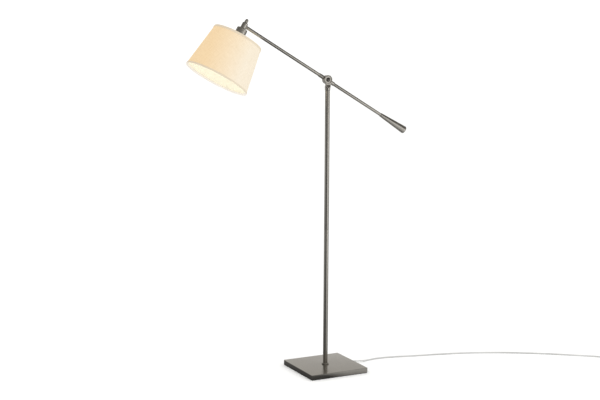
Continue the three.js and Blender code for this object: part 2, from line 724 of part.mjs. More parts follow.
function makeCord() {
  const approach = [-COIL_APPROACH - 35, -COIL_APPROACH];
  const last = approach.map((x) => atCoil(new THREE.Vector3(x, 0, floorHeight)).toArray());
  const route = smoothCurve([...CORD_ROUTE, ...last]);
  addPiece(lamp, 'power_cord', 'cord', swept(route, CORD_RADIUS, CORD_SIDES, CORD_STEPS));

  const [low, high] = [0.05, COIL_HEIGHT + 0.05];
  const inner = COIL_RADIUS - COIL_HALF_WIDTH;
  const outer = COIL_RADIUS + COIL_HALF_WIDTH;
  const ring = turned([
    [inner, low + 2],
    [inner + 2, low],
    [outer - 2, low],
    [outer, low + 2],
    [outer, high - 2],
    [outer - 2, high],
    [inner + 2, high],
    [inner, high - 2],
  ], 24);
  addPiece(lamp, 'cord_coil', 'cord', ring.translate(...COIL_CENTRE, 0));

  const tail = smoothCurve([
    [COIL_APPROACH, 0, 3 * CORD_RADIUS],
    [(COIL_APPROACH + TAIL_END) / 2, 0, PLUG_HEIGHT + 0.5],
    [TAIL_END, 0, PLUG_HEIGHT],
  ]);
  addPiece(lamp, 'cord_tail', 'cord', atCoil(swept(tail, CORD_RADIUS, CORD_SIDES, 4)));
}

function makePlug() {
  const start = TAIL_END + GAP;
  const taper = turned([[0, 0], [3.6, 0], [5.4, 24], [0, 24]], 12);
  const sleeve = alongX(taper).translate(start, 0, PLUG_HEIGHT);
  const outline = new THREE.Shape();
  const [halfWidth, halfHeight, chamfer] = [10.5, 5, 2.5];
  outline.moveTo(-halfHeight, chamfer - halfWidth);
  outline.lineTo(chamfer - halfHeight, -halfWidth);
  outline.lineTo(halfHeight - chamfer, -halfWidth);
  outline.lineTo(halfHeight, chamfer - halfWidth);
  outline.lineTo(halfHeight, halfWidth - chamfer);
  outline.lineTo(halfHeight - chamfer, halfWidth);
  outline.lineTo(chamfer - halfHeight, halfWidth);
  outline.lineTo(-halfHeight, halfWidth - chamfer);
  outline.closePath();
  const bevel = { bevelEnabled: true, bevelThickness: 3, bevelSize: 1.5, bevelSegments: 2 };
  const grip = new THREE.ExtrudeGeometry(outline, { depth: 22, ...bevel });
  const body = alongX(solid(grip)).translate(start + 23, 0, PLUG_HEIGHT);
  addPiece(lamp, 'plug_body', 'cord', atCoil(join(sleeve, body)));
  const face = start + 23 + 22 + 3 + GAP;
  for (const [name, side] of [['plug_blade_left', 1], ['plug_blade_right', -1]]) {
    const blade = new THREE.BoxGeometry(17, 1.5, 6.3);
    blade.translate(face + 8.5, side * 6.35, PLUG_HEIGHT);
    addPiece(lamp, name, 'brass', atCoil(solid(blade)));
  }
}

makeBase();
makeFoot();
makePole();
makeNeck();
makePivot();
makeHub();
makeArms();
makeCounterweight();
makeHeadJoint();
makeSwitch();
makeSocket();
makeBulb();
makeShade();
makeGland();
makeCord();
makePlug();

export default lamp;
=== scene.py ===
"""The adjustable arm floor lamp's looks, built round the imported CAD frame.

Lengths are metres in the row frame, +Z up. Each new piece is built about its own axis, in the
frame of the pole, the arm, the pivot bolt or the lamp head, and takes its size from the CAD node
that it stands for.
"""

import json
import math

import bmesh
import bpy
from mathutils import Matrix, Vector


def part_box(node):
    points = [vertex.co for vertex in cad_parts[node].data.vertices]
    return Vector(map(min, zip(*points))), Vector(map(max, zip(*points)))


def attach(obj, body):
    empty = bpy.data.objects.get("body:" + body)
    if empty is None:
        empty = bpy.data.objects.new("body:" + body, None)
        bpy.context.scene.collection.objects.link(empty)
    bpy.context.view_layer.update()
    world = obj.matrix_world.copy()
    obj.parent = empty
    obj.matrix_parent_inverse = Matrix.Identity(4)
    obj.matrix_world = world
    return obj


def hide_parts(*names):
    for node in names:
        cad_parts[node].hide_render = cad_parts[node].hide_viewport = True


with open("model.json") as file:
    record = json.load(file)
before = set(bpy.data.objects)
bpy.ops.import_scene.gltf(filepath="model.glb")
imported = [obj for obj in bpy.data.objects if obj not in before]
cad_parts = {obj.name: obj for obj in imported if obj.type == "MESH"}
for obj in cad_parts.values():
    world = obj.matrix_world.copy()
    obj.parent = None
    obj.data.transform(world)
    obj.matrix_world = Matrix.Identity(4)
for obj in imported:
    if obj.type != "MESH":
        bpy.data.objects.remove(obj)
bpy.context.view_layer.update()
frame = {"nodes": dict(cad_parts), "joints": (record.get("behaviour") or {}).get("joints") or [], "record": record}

# ---- frames of the moving groups

JOINTS = {joint["name"]: joint for joint in frame["joints"]}
SLOTS = {part["node"]: part["material_slot"] for part in frame["record"]["subparts"]}
BODY_OF = {
    node: body
    for body, nodes in frame["record"]["behaviour"]["bodies"].items()
    for node in nodes
}
PIVOT = Vector(JOINTS["boom_tilt"]["pos_m"])
HEAD = Vector(JOINTS["head_roll"]["pos_m"])
ALONG_ARM = Vector(JOINTS["head_roll"]["axis"])  # from the lamp head towards the counterweight
ACROSS = Vector(JOINTS["boom_tilt"]["axis"])
HEAD_UP = ALONG_ARM.cross(ACROSS)


def axes(origin, x_way, z_way):
    """The frame at origin whose X and Z run those ways."""
    x, z = Vector(x_way).normalized(), Vector(z_way).normalized()
    matrix = Matrix((x, z.cross(x), z)).transposed().to_4x4()
    matrix.translation = Vector(origin)
    return matrix


UPRIGHT = Matrix.Identity(4)
HEAD_AXES = axes(HEAD, ALONG_ARM, HEAD_UP)
ARM_AXES = axes(PIVOT, ACROSS, ALONG_ARM)
BOLT_AXES = axes((0, 0, PIVOT.z), (1, 0, 0), ACROSS)


def span(node, matrix):
    """Lowest and highest corner of a CAD node, measured in that frame."""
    back = matrix.inverted()
    points = [back @ vertex.co for vertex in frame["nodes"][node].data.vertices]
    return [Vector([pick(p[axis] for p in points) for axis in range(3)]) for pick in (min, max)]


# ---- camera

CAMERA_AZIMUTH = math.radians(-28.165)
CAMERA_DISTANCE = 4.5
CAMERA_HEIGHT = 1.31
CAMERA_TURN = math.radians(1.356)  # to the right of the pole
CAMERA_PITCH = math.radians(7.781)
CAMERA_ROLL = 0.0052
CAMERA_LENS = 68.06


def make_camera():
    yaw, level = CAMERA_AZIMUTH + CAMERA_TURN, math.cos(CAMERA_PITCH)
    ahead = Vector((-math.sin(yaw) * level, math.cos(yaw) * level, -math.sin(CAMERA_PITCH)))
    level_right = Vector((math.cos(yaw), math.sin(yaw), 0))
    level_up = level_right.cross(ahead)
    right = level_right * math.cos(CAMERA_ROLL) + level_up * math.sin(CAMERA_ROLL)
    camera = bpy.data.objects.new("camera", bpy.data.cameras.new("camera"))
    camera.data.lens = CAMERA_LENS
    camera.data.clip_end = 200
    place = (
        math.sin(CAMERA_AZIMUTH) * CAMERA_DISTANCE,
        -math.cos(CAMERA_AZIMUTH) * CAMERA_DISTANCE,
        CAMERA_HEIGHT,
    )
    camera.matrix_world = axes(place, right, -ahead)
    bpy.context.scene.collection.objects.link(camera)
    bpy.context.scene.camera = camera


make_camera()

# ---- materials


class Nodes:
    """Short calls that add nodes to a tree and join them."""

    def __init__(self, tree):
        self.tree = tree

    def add(self, kind, inputs=None, **settings):
        made = self.tree.nodes.new("ShaderNode" + kind)
        for key, value in settings.items():
            setattr(made, key, value)
        for key, value in (inputs or {}).items():
            if isinstance(value, bpy.types.NodeSocket):
                self.tree.links.new(value, made.inputs[key])
            else:
                made.inputs[key].default_value = value
        return made

    def place(self):
        return self.add("TexCoord").outputs["Object"]

    def noise(self, scale, detail=2.0, roughness=0.5, where=None):
        """Noise whose grain is 1/scale metres, for all axes or each one, from 0 to 1."""
        scale = scale if isinstance(scale, tuple) else (scale,) * 3
        grain = self.add("Mapping", {"Vector": where or self.place(), "Scale": scale}).outputs[0]
        settings = {"Vector": grain, "Scale": 1.0, "Detail": detail, "Roughness": roughness}
        return self.add("TexNoise", settings).outputs["Fac"]

    def math(self, operation, first, second=0.0, third=0.0):
        return self.add("Math", {0: first, 1: second, 2: third}, operation=operation).outputs[0]

    def vector(self, operation, first, second=(0, 0, 0)):
        """A vector, or for DOT_PRODUCT and LENGTH a number."""
        made = self.add("VectorMath", {0: first, 1: second}, operation=operation)
        return made.outputs["Value" if operation in ("DOT_PRODUCT", "LENGTH") else "Vector"]

    def stretch(self, value, low, high, to_low=0.0, to_high=1.0, **settings):
        limits = {0: value, 1: low, 2: high, 3: to_low, 4: to_high}
        return self.add("MapRange", limits, clamp=True, **settings).outputs[0]

    def vary(self, pattern, low, high):
        """A value that goes from low to high over the range that noise mostly fills."""
        return self.stretch(pattern, 0.3, 0.7, low, high)

    def mix(self, share, first, second, how="MIX"):
        """A colour between two, each of which is a socket or (red, green, blue)."""
        ends = (colour(*one) if isinstance(one, tuple) else one for one in (first, second))
        inputs = dict(zip((0, 6, 7), (share, *ends)))
        return self.add("Mix", inputs, data_type="RGBA", blend_type=how).outputs[2]

    def bump(self, height, distance, strength=1.0, under=None):
        made = self.add("Bump", {"Height": height, "Distance": distance, "Strength": strength})
        if under:
            self.tree.links.new(under, made.inputs["Normal"])
        return made.outputs["Normal"]


class Shader(Nodes):
    """A node material round one Principled shader, whose sockets are named with _ for a space."""

    def __init__(self, name, **sockets):
        self.material = bpy.data.materials.new(name)
        self.material.use_nodes = True
        super().__init__(self.material.node_tree)
        self.surface = self.tree.nodes["Principled BSDF"]
        for socket, value in sockets.items():
            self.surface.inputs[socket.replace("_", " ")].default_value = value

    def use(self, **sources):
        for socket, source in sources.items():
            self.tree.links.new(source, self.surface.inputs[socket.replace("_", " ")])
        return self.material


def colour(red, green, blue):
    return (red, green, blue, 1.0)


def brushed(name, light, dark, stretch, roughness=(0.2, 0.32), depth=2e-6):
    """Satin plated metal. stretch is how many brush lines a metre holds along X, Y and Z."""
    shader = Shader(name, Metallic=1.0, Anisotropic=0.35)
    lines = shader.noise(stretch, detail=3.0, roughness=0.6)
    clouds = shader.noise(22, detail=3.0)
    share = shader.math("MULTIPLY_ADD", clouds, 0.6, shader.math("MULTIPLY", lines, 0.4))
    tone = shader.mix(shader.stretch(share, 0.3, 0.7), dark, light)
    wear = shader.math("MULTIPLY_ADD", clouds, 0.3, lines)
    rough = shader.stretch(wear, 0.35, 0.95, *roughness)
    return shader.use(Base_Color=tone, Roughness=rough, Normal=shader.bump(lines, depth))


def nickel(name, *finish):
    return brushed(name, (0.55, 0.525, 0.475), (0.49, 0.465, 0.42), *finish)


def speckled(name, base, other, grain, roughness, depth, **sockets):
    """Cast, moulded or sintered surface: mottled colour and a fine bump."""
    shader = Shader(name, **sockets)
    spots = shader.noise(grain, detail=4.0, roughness=0.65)
    tone = shader.mix(shader.stretch(spots, 0.35, 0.65), base, other)
    rough = shader.vary(spots, *roughness)
    return shader.use(Base_Color=tone, Roughness=rough, Normal=shader.bump(spots, depth))


def felt():
    shader = Shader("felt", Sheen_Weight=0.3)
    fibres = shader.noise(900, detail=5.0, roughness=0.7)
    tufts = shader.noise(120, detail=3.0)
    share = shader.stretch(shader.math("ADD", fibres, tufts), 0.7, 1.3)
    tone = shader.mix(share, (0.012, 0.011, 0.01), (0.05, 0.045, 0.04))
    rough = shader.vary(fibres, 0.88, 1.0)
    return shader.use(Base_Color=tone, Roughness=rough, Normal=shader.bump(fibres, 0.0006))


def lit(name, grain, tones, glows, roughness, depth=None, **sockets):
    """A pale surface that lets light through, a little cloudy in its colour and its glow. The glow is
    the bulb's own light on the opal globe, and painted light on the shade's liner.
    """
    shader = Shader(name, **sockets)
    haze = shader.noise(grain)
    if depth:
        shader.use(Normal=shader.bump(haze, depth))
    tone, glow = shader.mix(haze, *tones), shader.mix(haze, *glows)
    return shader.use(
        Base_Color=tone, Emission_Color=glow, Roughness=shader.vary(haze, *roughness),
    )


THREAD = 0.00075  # pitch of the linen's threads


def weave(shader):
    """(height, slub) of a plain weave with uneven threads, on the flat cut's own coordinates."""
    cut = shader.add("UVMap", uv_map="cut").outputs[0]
    apart = shader.add("SeparateXYZ", {0: cut})
    wander = shader.noise((130, 130, 1), detail=2.0, where=cut)
    turns = []
    for axis in (0, 1):
        along = shader.math("MULTIPLY", apart.outputs[axis], math.pi / THREAD)
        turns.append(shader.math("SINE", shader.math("MULTIPLY_ADD", wander, 2.2, along)))
    height = shader.math("MULTIPLY", *turns)
    warp = shader.noise((950, 28, 1), detail=3.0, roughness=0.6, where=cut)
    weft = shader.noise((28, 950, 1), detail=3.0, roughness=0.6, where=cut)
    slub = shader.math("MULTIPLY_ADD", warp, 0.45, shader.math("MULTIPLY", weft, 0.55))
    return height, slub


def linen(name, pale, deep, painted_glow_left, painted_glow_right, painted_glow_facing_bulb=None):
    """Linen lit by a painted glow that stands in for the lamp's light through the cloth. Thick threads
    hold back that glow, which is painted warmer on the left, away from the window, and cooler on the
    right, where the window's light falls. Cloth that faces the bulb takes painted_glow_facing_bulb,
    painted light from the bulb."""
    shader = Shader(name, Emission_Strength=1.0)
    height, slub = weave(shader)
    thick = shader.stretch(slub, 0.36, 0.62)
    across = shader.add("SeparateXYZ", {0: shader.place()}).outputs[0]
    # painted light and shade: the glow is warm on the left and cooler on the right, where the studio light falls
    glow = shader.mix(shader.stretch(across, -0.1, 0.03), painted_glow_left, painted_glow_right)
    # painted light: cloth that faces the bulb glows in its own colour, as if lit by the bulb
    if painted_glow_facing_bulb:
        outward = shader.vector("NORMALIZE", shader.vector("MULTIPLY", shader.place(), (1, 1, 0)))
        facing = shader.vector("DOT_PRODUCT", shader.add("TexCoord").outputs["Normal"], outward)
        glow = shader.mix(shader.stretch(facing, 0.1, 0.7), painted_glow_facing_bulb, glow)
    # thick threads let less of the painted glow through
    light = shader.mix(thick, glow, shader.mix(1.0, glow, (0.86, 0.82, 0.74), "MULTIPLY"))
    rough = shader.vary(slub, 0.82, 0.95)
    fine = shader.bump(height, 0.00012, 0.7, shader.bump(slub, 0.0004))
    tone = shader.mix(thick, pale, deep)
    return shader.use(Base_Color=tone, Emission_Color=light, Roughness=rough, Normal=fine)


def clear_pvc():
    """Clear cord plastic over a silvery lay, which shows as faint mottling."""
    shader = Shader("cord_clear", IOR=1.5, Coat_Weight=0.3, Coat_Roughness=0.15)
    strands = shader.noise(420)
    clouds = shader.noise(9)
    share = shader.math("MULTIPLY_ADD", clouds, 0.7, shader.math("MULTIPLY", strands, 0.3))
    tone = shader.mix(shader.stretch(share, 0.35, 0.65), (0.5, 0.5, 0.49), (0.64, 0.64, 0.63))
    rough = shader.vary(strands, 0.3, 0.42)
    return shader.use(Base_Color=tone, Roughness=rough, Normal=shader.bump(strands, 0.00004))


ROUND_Z = (30, 30, 2600)  # brush lines that run round a turned piece
NICKEL_ALONG = nickel("nickel_along", (2600, 2600, 14))
NICKEL_ROUND = nickel("nickel_round", ROUND_Z)
NICKEL_FLAT = nickel("nickel_flat", (14, 2600, 2600), (0.14, 0.22), 1e-6)
CUP_METAL = nickel("cup_metal", ROUND_Z, (0.24, 0.36), 3e-6)
BOLT_METAL = brushed("bolt_metal", (0.2, 0.19, 0.175), (0.15, 0.14, 0.13), ROUND_Z, (0.26, 0.38))
# painted glow: the shade's linen glows on its own, warm on the left and cooler on the right, painted light for the
# bulb's light through it and the studio light on the right
LINEN = linen(
    "linen", (0.46, 0.41, 0.32), (0.4, 0.35, 0.26), (0.49, 0.31, 0.12), (0.48, 0.44, 0.39),
)
# painted glow on the binding tape: dimmer than the linen, and paler where it faces the bulb, painted light from
# the bulb
TRIM = linen(
    "linen_trim", (0.54, 0.47, 0.38), (0.46, 0.39, 0.31),
    (0.22, 0.18, 0.11), (0.26, 0.24, 0.18), (0.44, 0.46, 0.48),
)
# painted glow: the liner glows a little on its own, painted light standing in for the bulb's light on the inside
# of the shade
PAINTED_GLOW_LINER = lit(
    "liner_painted_glow", 45, ((0.72, 0.7, 0.6), (0.78, 0.76, 0.66)), ((1.0, 0.9, 0.68), (1.0, 0.93, 0.74)),
    (0.4, 0.55), 0.0004, Emission_Strength=0.22,
)
OPAL_GLASS = lit(
    "opal_glass", 60, ((0.9, 0.88, 0.82), (0.95, 0.93, 0.88)),
    ((1.0, 0.8, 0.52), (1.0, 0.86, 0.62)), (0.22, 0.34),
    Coat_Weight=0.4, Coat_Roughness=0.05, Emission_Strength=1.8,
)
CORD_CLEAR = clear_pvc()

MATERIALS = {
    "nickel": NICKEL_ROUND,
    "frame_wire": brushed("frame_wire", (0.62, 0.6, 0.57), (0.55, 0.53, 0.5), 400, (0.25, 0.4)),
    "iron": speckled(
        "iron", (0.03, 0.029, 0.028), (0.07, 0.065, 0.06), 500, (0.6, 0.85), 0.0003, Metallic=0.6,
    ),
    "zinc_steel": brushed(
        "zinc_steel", (0.68, 0.69, 0.7), (0.58, 0.59, 0.6), (500, 500, 900), (0.3, 0.45),
    ),
    "brass": brushed("brass", (0.83, 0.66, 0.32), (0.74, 0.56, 0.25), ROUND_Z, (0.22, 0.34)),
    "felt": felt(),
    "fibre": speckled("fibre", (0.09, 0.05, 0.03), (0.16, 0.1, 0.06), 1500, (0.7, 0.9), 0.0001),
    "phenolic": speckled(
        "phenolic", (0.02, 0.019, 0.018), (0.04, 0.037, 0.034), 900, (0.35, 0.5), 0.00004,
    ),
    "linen": LINEN,
    "linen_trim": TRIM,
    "opal_glass": OPAL_GLASS,
    "cord_plastic": CORD_CLEAR,
    "inner_wire": speckled(
        "inner_wire", (0.55, 0.55, 0.54), (0.68, 0.68, 0.66), 300, (0.35, 0.5), 0.00005,
    ),
}

# ---- mesh building

CREASE = 32.0  # degrees beyond which an edge is shaded sharp
ON_AXIS = 1e-7


def finish_mesh(name, mesh, crease=CREASE):
    """An object from a bmesh, smooth except along edges sharper than crease degrees."""
    bmesh.ops.recalc_face_normals(mesh, faces=mesh.faces)
    data = bpy.data.meshes.new(name)
    mesh.to_mesh(data)
    mesh.free()
    made = bpy.data.objects.new(name, data)
    bpy.context.scene.collection.objects.link(made)
    shade(made, crease)
    return made


def shade(made, crease=CREASE):
    made.data.shade_smooth()
    made.data.set_sharp_from_angle(angle=math.radians(crease))


def bridge(mesh, first, second):
    """Faces between two closed rings of equal count, either of which may be a single point."""
    count = max(len(first), len(second))
    for i in range(count if count > 1 else 0):
        j = (i + 1) % count
        if len(first) == 1:
            mesh.faces.new((first[0], second[i], second[j]))
        elif len(second) == 1:
            mesh.faces.new((first[j], first[i], second[0]))
        else:
            mesh.faces.new((first[j], first[i], second[i], second[j]))


def lathe(name, profile, around=96, ripple=None, crease=CREASE):
    """Solid of revolution about Z through (radius, height) points, from axis to axis or round a
    closed section. ripple(angle, radius, height) is added to the radius."""
    mesh, rings = bmesh.new(), []
    for radius, height in profile:
        if radius < ON_AXIS:
            rings.append([mesh.verts.new((0, 0, height))])
            continue
        ring = []
        for step in range(around):
            angle = step * math.tau / around
            r = radius + (ripple(angle, radius, height) if ripple else 0.0)
            ring.append(mesh.verts.new((r * math.cos(angle), r * math.sin(angle), height)))
        rings.append(ring)
    for first, second in zip(rings, rings[1:]):
        bridge(mesh, first, second)
    if len(rings[0]) > 1:
        bridge(mesh, rings[-1], rings[0])
    return finish_mesh(name, mesh, crease)


def eased(profile, radius=0.0005, steps=4):
    """The profile with its corners rounded off by about that radius. Ends on the axis stay."""
    open_ended = profile[0][0] < ON_AXIS and profile[-1][0] < ON_AXIS
    points, result = [Vector(p) for p in profile], []
    for i, corner in enumerate(points):
        if open_ended and i in (0, len(points) - 1):
            result.append(tuple(corner))
            continue
        back, ahead = points[i - 1] - corner, points[(i + 1) % len(points)] - corner
        reach = min(radius, 0.45 * back.length, 0.45 * ahead.length)
        turn = math.degrees(back.angle(-ahead))
        if turn < 12 or reach < ON_AXIS:
            result.append(tuple(corner))
            continue
        start, end = corner + back.normalized() * reach, corner + ahead.normalized() * reach
        for step in range(steps + 1):
            t = step / steps
            result.append(tuple(start * (1 - t) ** 2 + corner * 2 * t * (1 - t) + end * t * t))
    return result


def arc(across, height, radius, start, end, steps, tall=None):
    """(radius, height) points round part of a circle, from start to end in degrees, or of an
    ellipse if tall is given."""
    points = []
    for step in range(steps + 1):
        turn = math.radians(start + (end - start) * step / steps)
        rise = (radius if tall is None else tall) * math.sin(turn)
        points.append((across + radius * math.cos(turn), height + rise))
    return points


def blend(start, leave, end, arrive, t):
    """Place at t, from 0 to 1, on a curve with those ways of leaving and arriving."""
    return (
        start * (2 * t**3 - 3 * t**2 + 1) + leave * (t**3 - 2 * t**2 + t)
        + end * (3 * t**2 - 2 * t**3) + arrive * (t**3 - t**2)
    )


def groove(radius, start, depth, slope, floor):
    """Profile of a shallow groove that begins at start and slopes down to a flat floor."""
    deep = radius - depth
    last = start + slope + floor
    return [(radius, start), (deep, start + slope), (deep, last), (radius, last + slope)]


def tube_section(inner, outer, low, high, ease=0.0003):
    return eased([(inner, low), (outer, low), (outer, high), (inner, high)], ease)


def loft(name, rings, crease=CREASE, closed=False):
    """A skin through rings of points, capped at both ends, or joined end to end if closed."""
    mesh = bmesh.new()
    made = [[mesh.verts.new(point) for point in ring] for ring in rings]
    for first, second in zip(made, made[1:]):
        bridge(mesh, first, second)
    if closed:
        bridge(mesh, made[-1], made[0])
    else:
        mesh.faces.new(made[0])
        mesh.faces.new(made[-1])
    return finish_mesh(name, mesh, crease)


def inset(outline, amount):
    """A closed anticlockwise outline moved inwards by amount."""
    moved = []
    for i, point in enumerate(outline):
        before, after = Vector(outline[i - 1]), Vector(outline[(i + 1) % len(outline)])
        way = (after - before).normalized()
        moved.append((point[0] - way.y * amount, point[1] + way.x * amount))
    return moved


def slab(name, outline, low, high, edge, steps=4):
    """An outline given thickness along Z, with both edges rounded by that radius."""
    rings = []
    turns = [step / steps * math.pi / 2 for step in range(steps + 1)]
    for face, way, order in ((low, edge, turns), (high, -edge, turns[::-1])):
        for angle in order:
            ring = inset(outline, edge * (1 - math.sin(angle)))
            rings.append([(x, y, face + way * (1 - math.cos(angle))) for x, y in ring])
    return loft(name, rings)


def combine(target, tool, how="UNION"):
    """Joins tool into target, or cuts it away with DIFFERENCE. Both share a frame; tool goes."""
    change = target.modifiers.new("combine", "BOOLEAN")
    change.operation, change.solver, change.object = how, "EXACT", tool
    bpy.context.view_layer.update()
    evaluated = target.evaluated_get(bpy.context.evaluated_depsgraph_get())
    result = bpy.data.meshes.new_from_object(evaluated)
    target.modifiers.clear()
    old, target.data = target.data, result
    bpy.data.meshes.remove(old)
    bpy.data.objects.remove(tool)
    shade(target)
    return target


def drill(target, radius, low, high, matrix=UPRIGHT, around=48):
    """Cuts a round hole along that frame's Z from low to high."""
    tool = lathe("tool", [(0, low), (radius, low), (radius, high), (0, high)], around)
    tool.data.transform(matrix)
    return combine(target, tool, "DIFFERENCE")


def stand_in(made, matrix, node, material=None, *more_nodes):
    """Puts a piece where its CAD node is: in that frame, on the node's body, with its material."""
    made.matrix_world = matrix
    if not made.data.materials:
        made.data.materials.append(material or MATERIALS[SLOTS[node]])
    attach(made, BODY_OF[node])
    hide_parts(node, *more_nodes)
    return made


# ---- cord

CORD_DIAMETER = 0.0056
LYING = 0.00285  # height of the cord's centre where it lies on the floor
CORD_ROUTE = [
    (0.1543, 0.018, 0.0085), (0.168, 0.0189, 0.0079), (0.186, 0.022, 0.0056),
    (0.206, 0.0264, 0.0034), (0.228, 0.0305, LYING), (0.262, 0.0345, LYING),
    (0.3, 0.0324, LYING), (0.345, 0.0235, LYING), (0.395, 0.0105, LYING),
    (0.45, -0.0045, LYING), (0.51, -0.018, LYING), (0.575, -0.034, LYING),
    (0.645, -0.055, LYING), (0.72, -0.084, LYING), (0.8, -0.122, LYING),
    (0.88, -0.168, LYING), (0.96, -0.22, LYING), (1.04, -0.28, LYING), (1.11, -0.334, LYING),
]
CORD_STEP = 0.003  # distance between points of the finished line

COIL_LAPS = 3
COIL_HEADING = math.radians(-35)
COIL_REST = CORD_DIAMETER / 2 + 0.0006  # the tie passes under the turns


def coil_frame():
    """(frame where the cord meets its coil, X running the cord's way, and the coil's outer turn)."""
    low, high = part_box("cord_coil")
    centre, outer = (low + high) / 2, (high.x - low.x) / 2 - CORD_DIAMETER / 2
    c, s = math.cos(COIL_HEADING), math.sin(COIL_HEADING)
    meet = Vector((centre.x + outer * s, centre.y - outer * c, 0))
    return axes(meet, (c, s, 0), (0, 0, 1)), outer


def curve_through(points, step):
    """Points about step apart along the centripetal curve through the given ones."""
    points = [Vector(p) for p in points]
    points = [2 * points[0] - points[1], *points, 2 * points[-1] - points[-2]]
    line = []
    for a, b, c, d in zip(points, points[1:], points[2:], points[3:]):
        t0, t1, t2 = ((q - p).length ** 0.5 for p, q in ((a, b), (b, c), (c, d)))
        leave = ((b - a) / t0 - (c - a) / (t0 + t1) + (c - b) / t1) * t1
        arrive = ((c - b) / t1 - (d - b) / (t1 + t2) + (d - c) / t2) * t1
        count = max(2, round((c - b).length / step))
        line += [blend(b, leave, c, arrive, i / count) for i in range(count)]
    return [*line, points[-2]]


def ramp(value, start, end):
    t = min(1.0, max(0.0, (value - start) / (end - start)))
    return t * t * (3 - 2 * t)


def coil_line(outer):
    """Three laps that lie two wide and two high, each moving on where the next place is free."""
    inner, top = outer - CORD_DIAMETER, COIL_REST + CORD_DIAMETER
    line = []
    for degrees in range(6, 360 * COIL_LAPS, 6):
        inwards = ramp(degrees, 285, 345)
        upwards = ramp(degrees, 360 + 225, 360 + 280)
        outwards = ramp(degrees, 720 + 165, 720 + 222)
        radius = outer + (inner - outer) * (inwards - outwards)
        height = COIL_REST + (top - COIL_REST) * upwards
        angle = math.radians(degrees)
        line.append(Vector((radius * math.sin(angle), outer - radius * math.cos(angle), height)))
    return line


def cord_line():
    """The whole centreline: from the strain relief along the floor, round the coil, to the plug."""
    matrix, outer = coil_frame()
    top = COIL_REST + CORD_DIAMETER
    plug_low, plug_high = (matrix.inverted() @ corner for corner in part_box("plug_body"))
    sleeve = span("plug_body", matrix)[0].x
    plug_height = (plug_low.z + plug_high.z) / 2
    approach = [(-0.06, 0, LYING), (-0.025, 0, LYING + 0.0003)]
    tail = [
        (0.012, 0, top), (0.032, 0, top - 0.0002),
        (0.052, 0, plug_height + 0.0008), (sleeve + 0.002, 0, plug_height),
    ]
    free = curve_through([*CORD_ROUTE, *(matrix @ Vector(p) for p in approach)], CORD_STEP)
    turns = [matrix @ p for p in coil_line(outer)]
    end = curve_through([matrix @ Vector(p) for p in tail], CORD_STEP)
    return [*free, *turns, *end]


def make_cord():
    line = cord_line()
    data = bpy.data.curves.new("cord", "CURVE")
    data.dimensions, data.bevel_depth, data.bevel_resolution = "3D", CORD_DIAMETER / 2, 6
    data.use_fill_caps = True
    spline = data.splines.new("POLY")
    spline.points.add(len(line) - 1)
    for point, place in zip(spline.points, line):
        point.co = (*place, 1.0)
    spline.use_smooth = True
    cord = bpy.data.objects.new("cord", data)
    bpy.context.scene.collection.objects.link(cord)
    return stand_in(cord, UPRIGHT, "power_cord", None, "cord_coil", "cord_tail")


def make_gland():
    """Strain relief: a flange against the cover and a ribbed taper."""
    low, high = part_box("cord_gland")
    middle = (low + high) / 2
    matrix = axes((0, middle.y, middle.z), (0, 0, 1), (1, 0, 0))
    cover, flange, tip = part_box("base_cover")[1].x, (high.y - low.y) / 2, high.x
    mouth, root = CORD_DIAMETER / 2 + 0.0007, 0.0054
    profile = [
        (0, low.x), (0.0046, low.x), (0.0046, cover + 0.0003), (flange, cover + 0.0003),
        (flange, cover + 0.0018), (root + 0.0006, cover + 0.0026),
    ]
    start, ribs = cover + 0.003, 8
    pitch = (tip - start) / ribs
    for rib in range(ribs):
        for share, groove in ((0, 0), (0.12, 0), (0.55, 0), (0.64, 0.0009), (0.92, 0.0009)):
            at = (rib + share) / ribs
            radius = root + (mouth - root) * at - groove * (1 - at * 0.7)
            profile.append((radius, start + pitch * (rib + share)))
    profile += [(mouth, tip - 0.0002), (mouth - 0.0006, tip), (0, tip)]
    return stand_in(lathe("strain_relief", eased(profile, 0.0003, 2), 48), matrix, "cord_gland")


def superellipse(half_x, half_y, power=3.2, count=64):
    """Closed outline between an ellipse and a rectangle."""
    def squared(at):
        return math.copysign(abs(at) ** (2 / power), at)

    circle = arc(0, 0, 1, 0, 360, count)[:-1]
    return [(half_x * squared(x), half_y * squared(y)) for x, y in circle]


PLUG_SLEEVE = [
    # distance from the sleeve's end, half width, half thickness, squareness
    (0, 0.0034, 0.0034, 2.0), (0.0006, 0.0039, 0.0039, 2.0), (0.006, 0.0043, 0.0041, 2.0),
    (0.0068, 0.0037, 0.0036, 2.0), (0.0085, 0.0038, 0.0037, 2.0), (0.0093, 0.0047, 0.0044, 2.1),
    (0.0125, 0.005, 0.0046, 2.1), (0.0133, 0.0042, 0.004, 2.1), (0.015, 0.0044, 0.0041, 2.1),
    (0.0158, 0.0056, 0.005, 2.2), (0.021, 0.0068, 0.0054, 2.3), (0.026, 0.0094, 0.0059, 2.6),
]


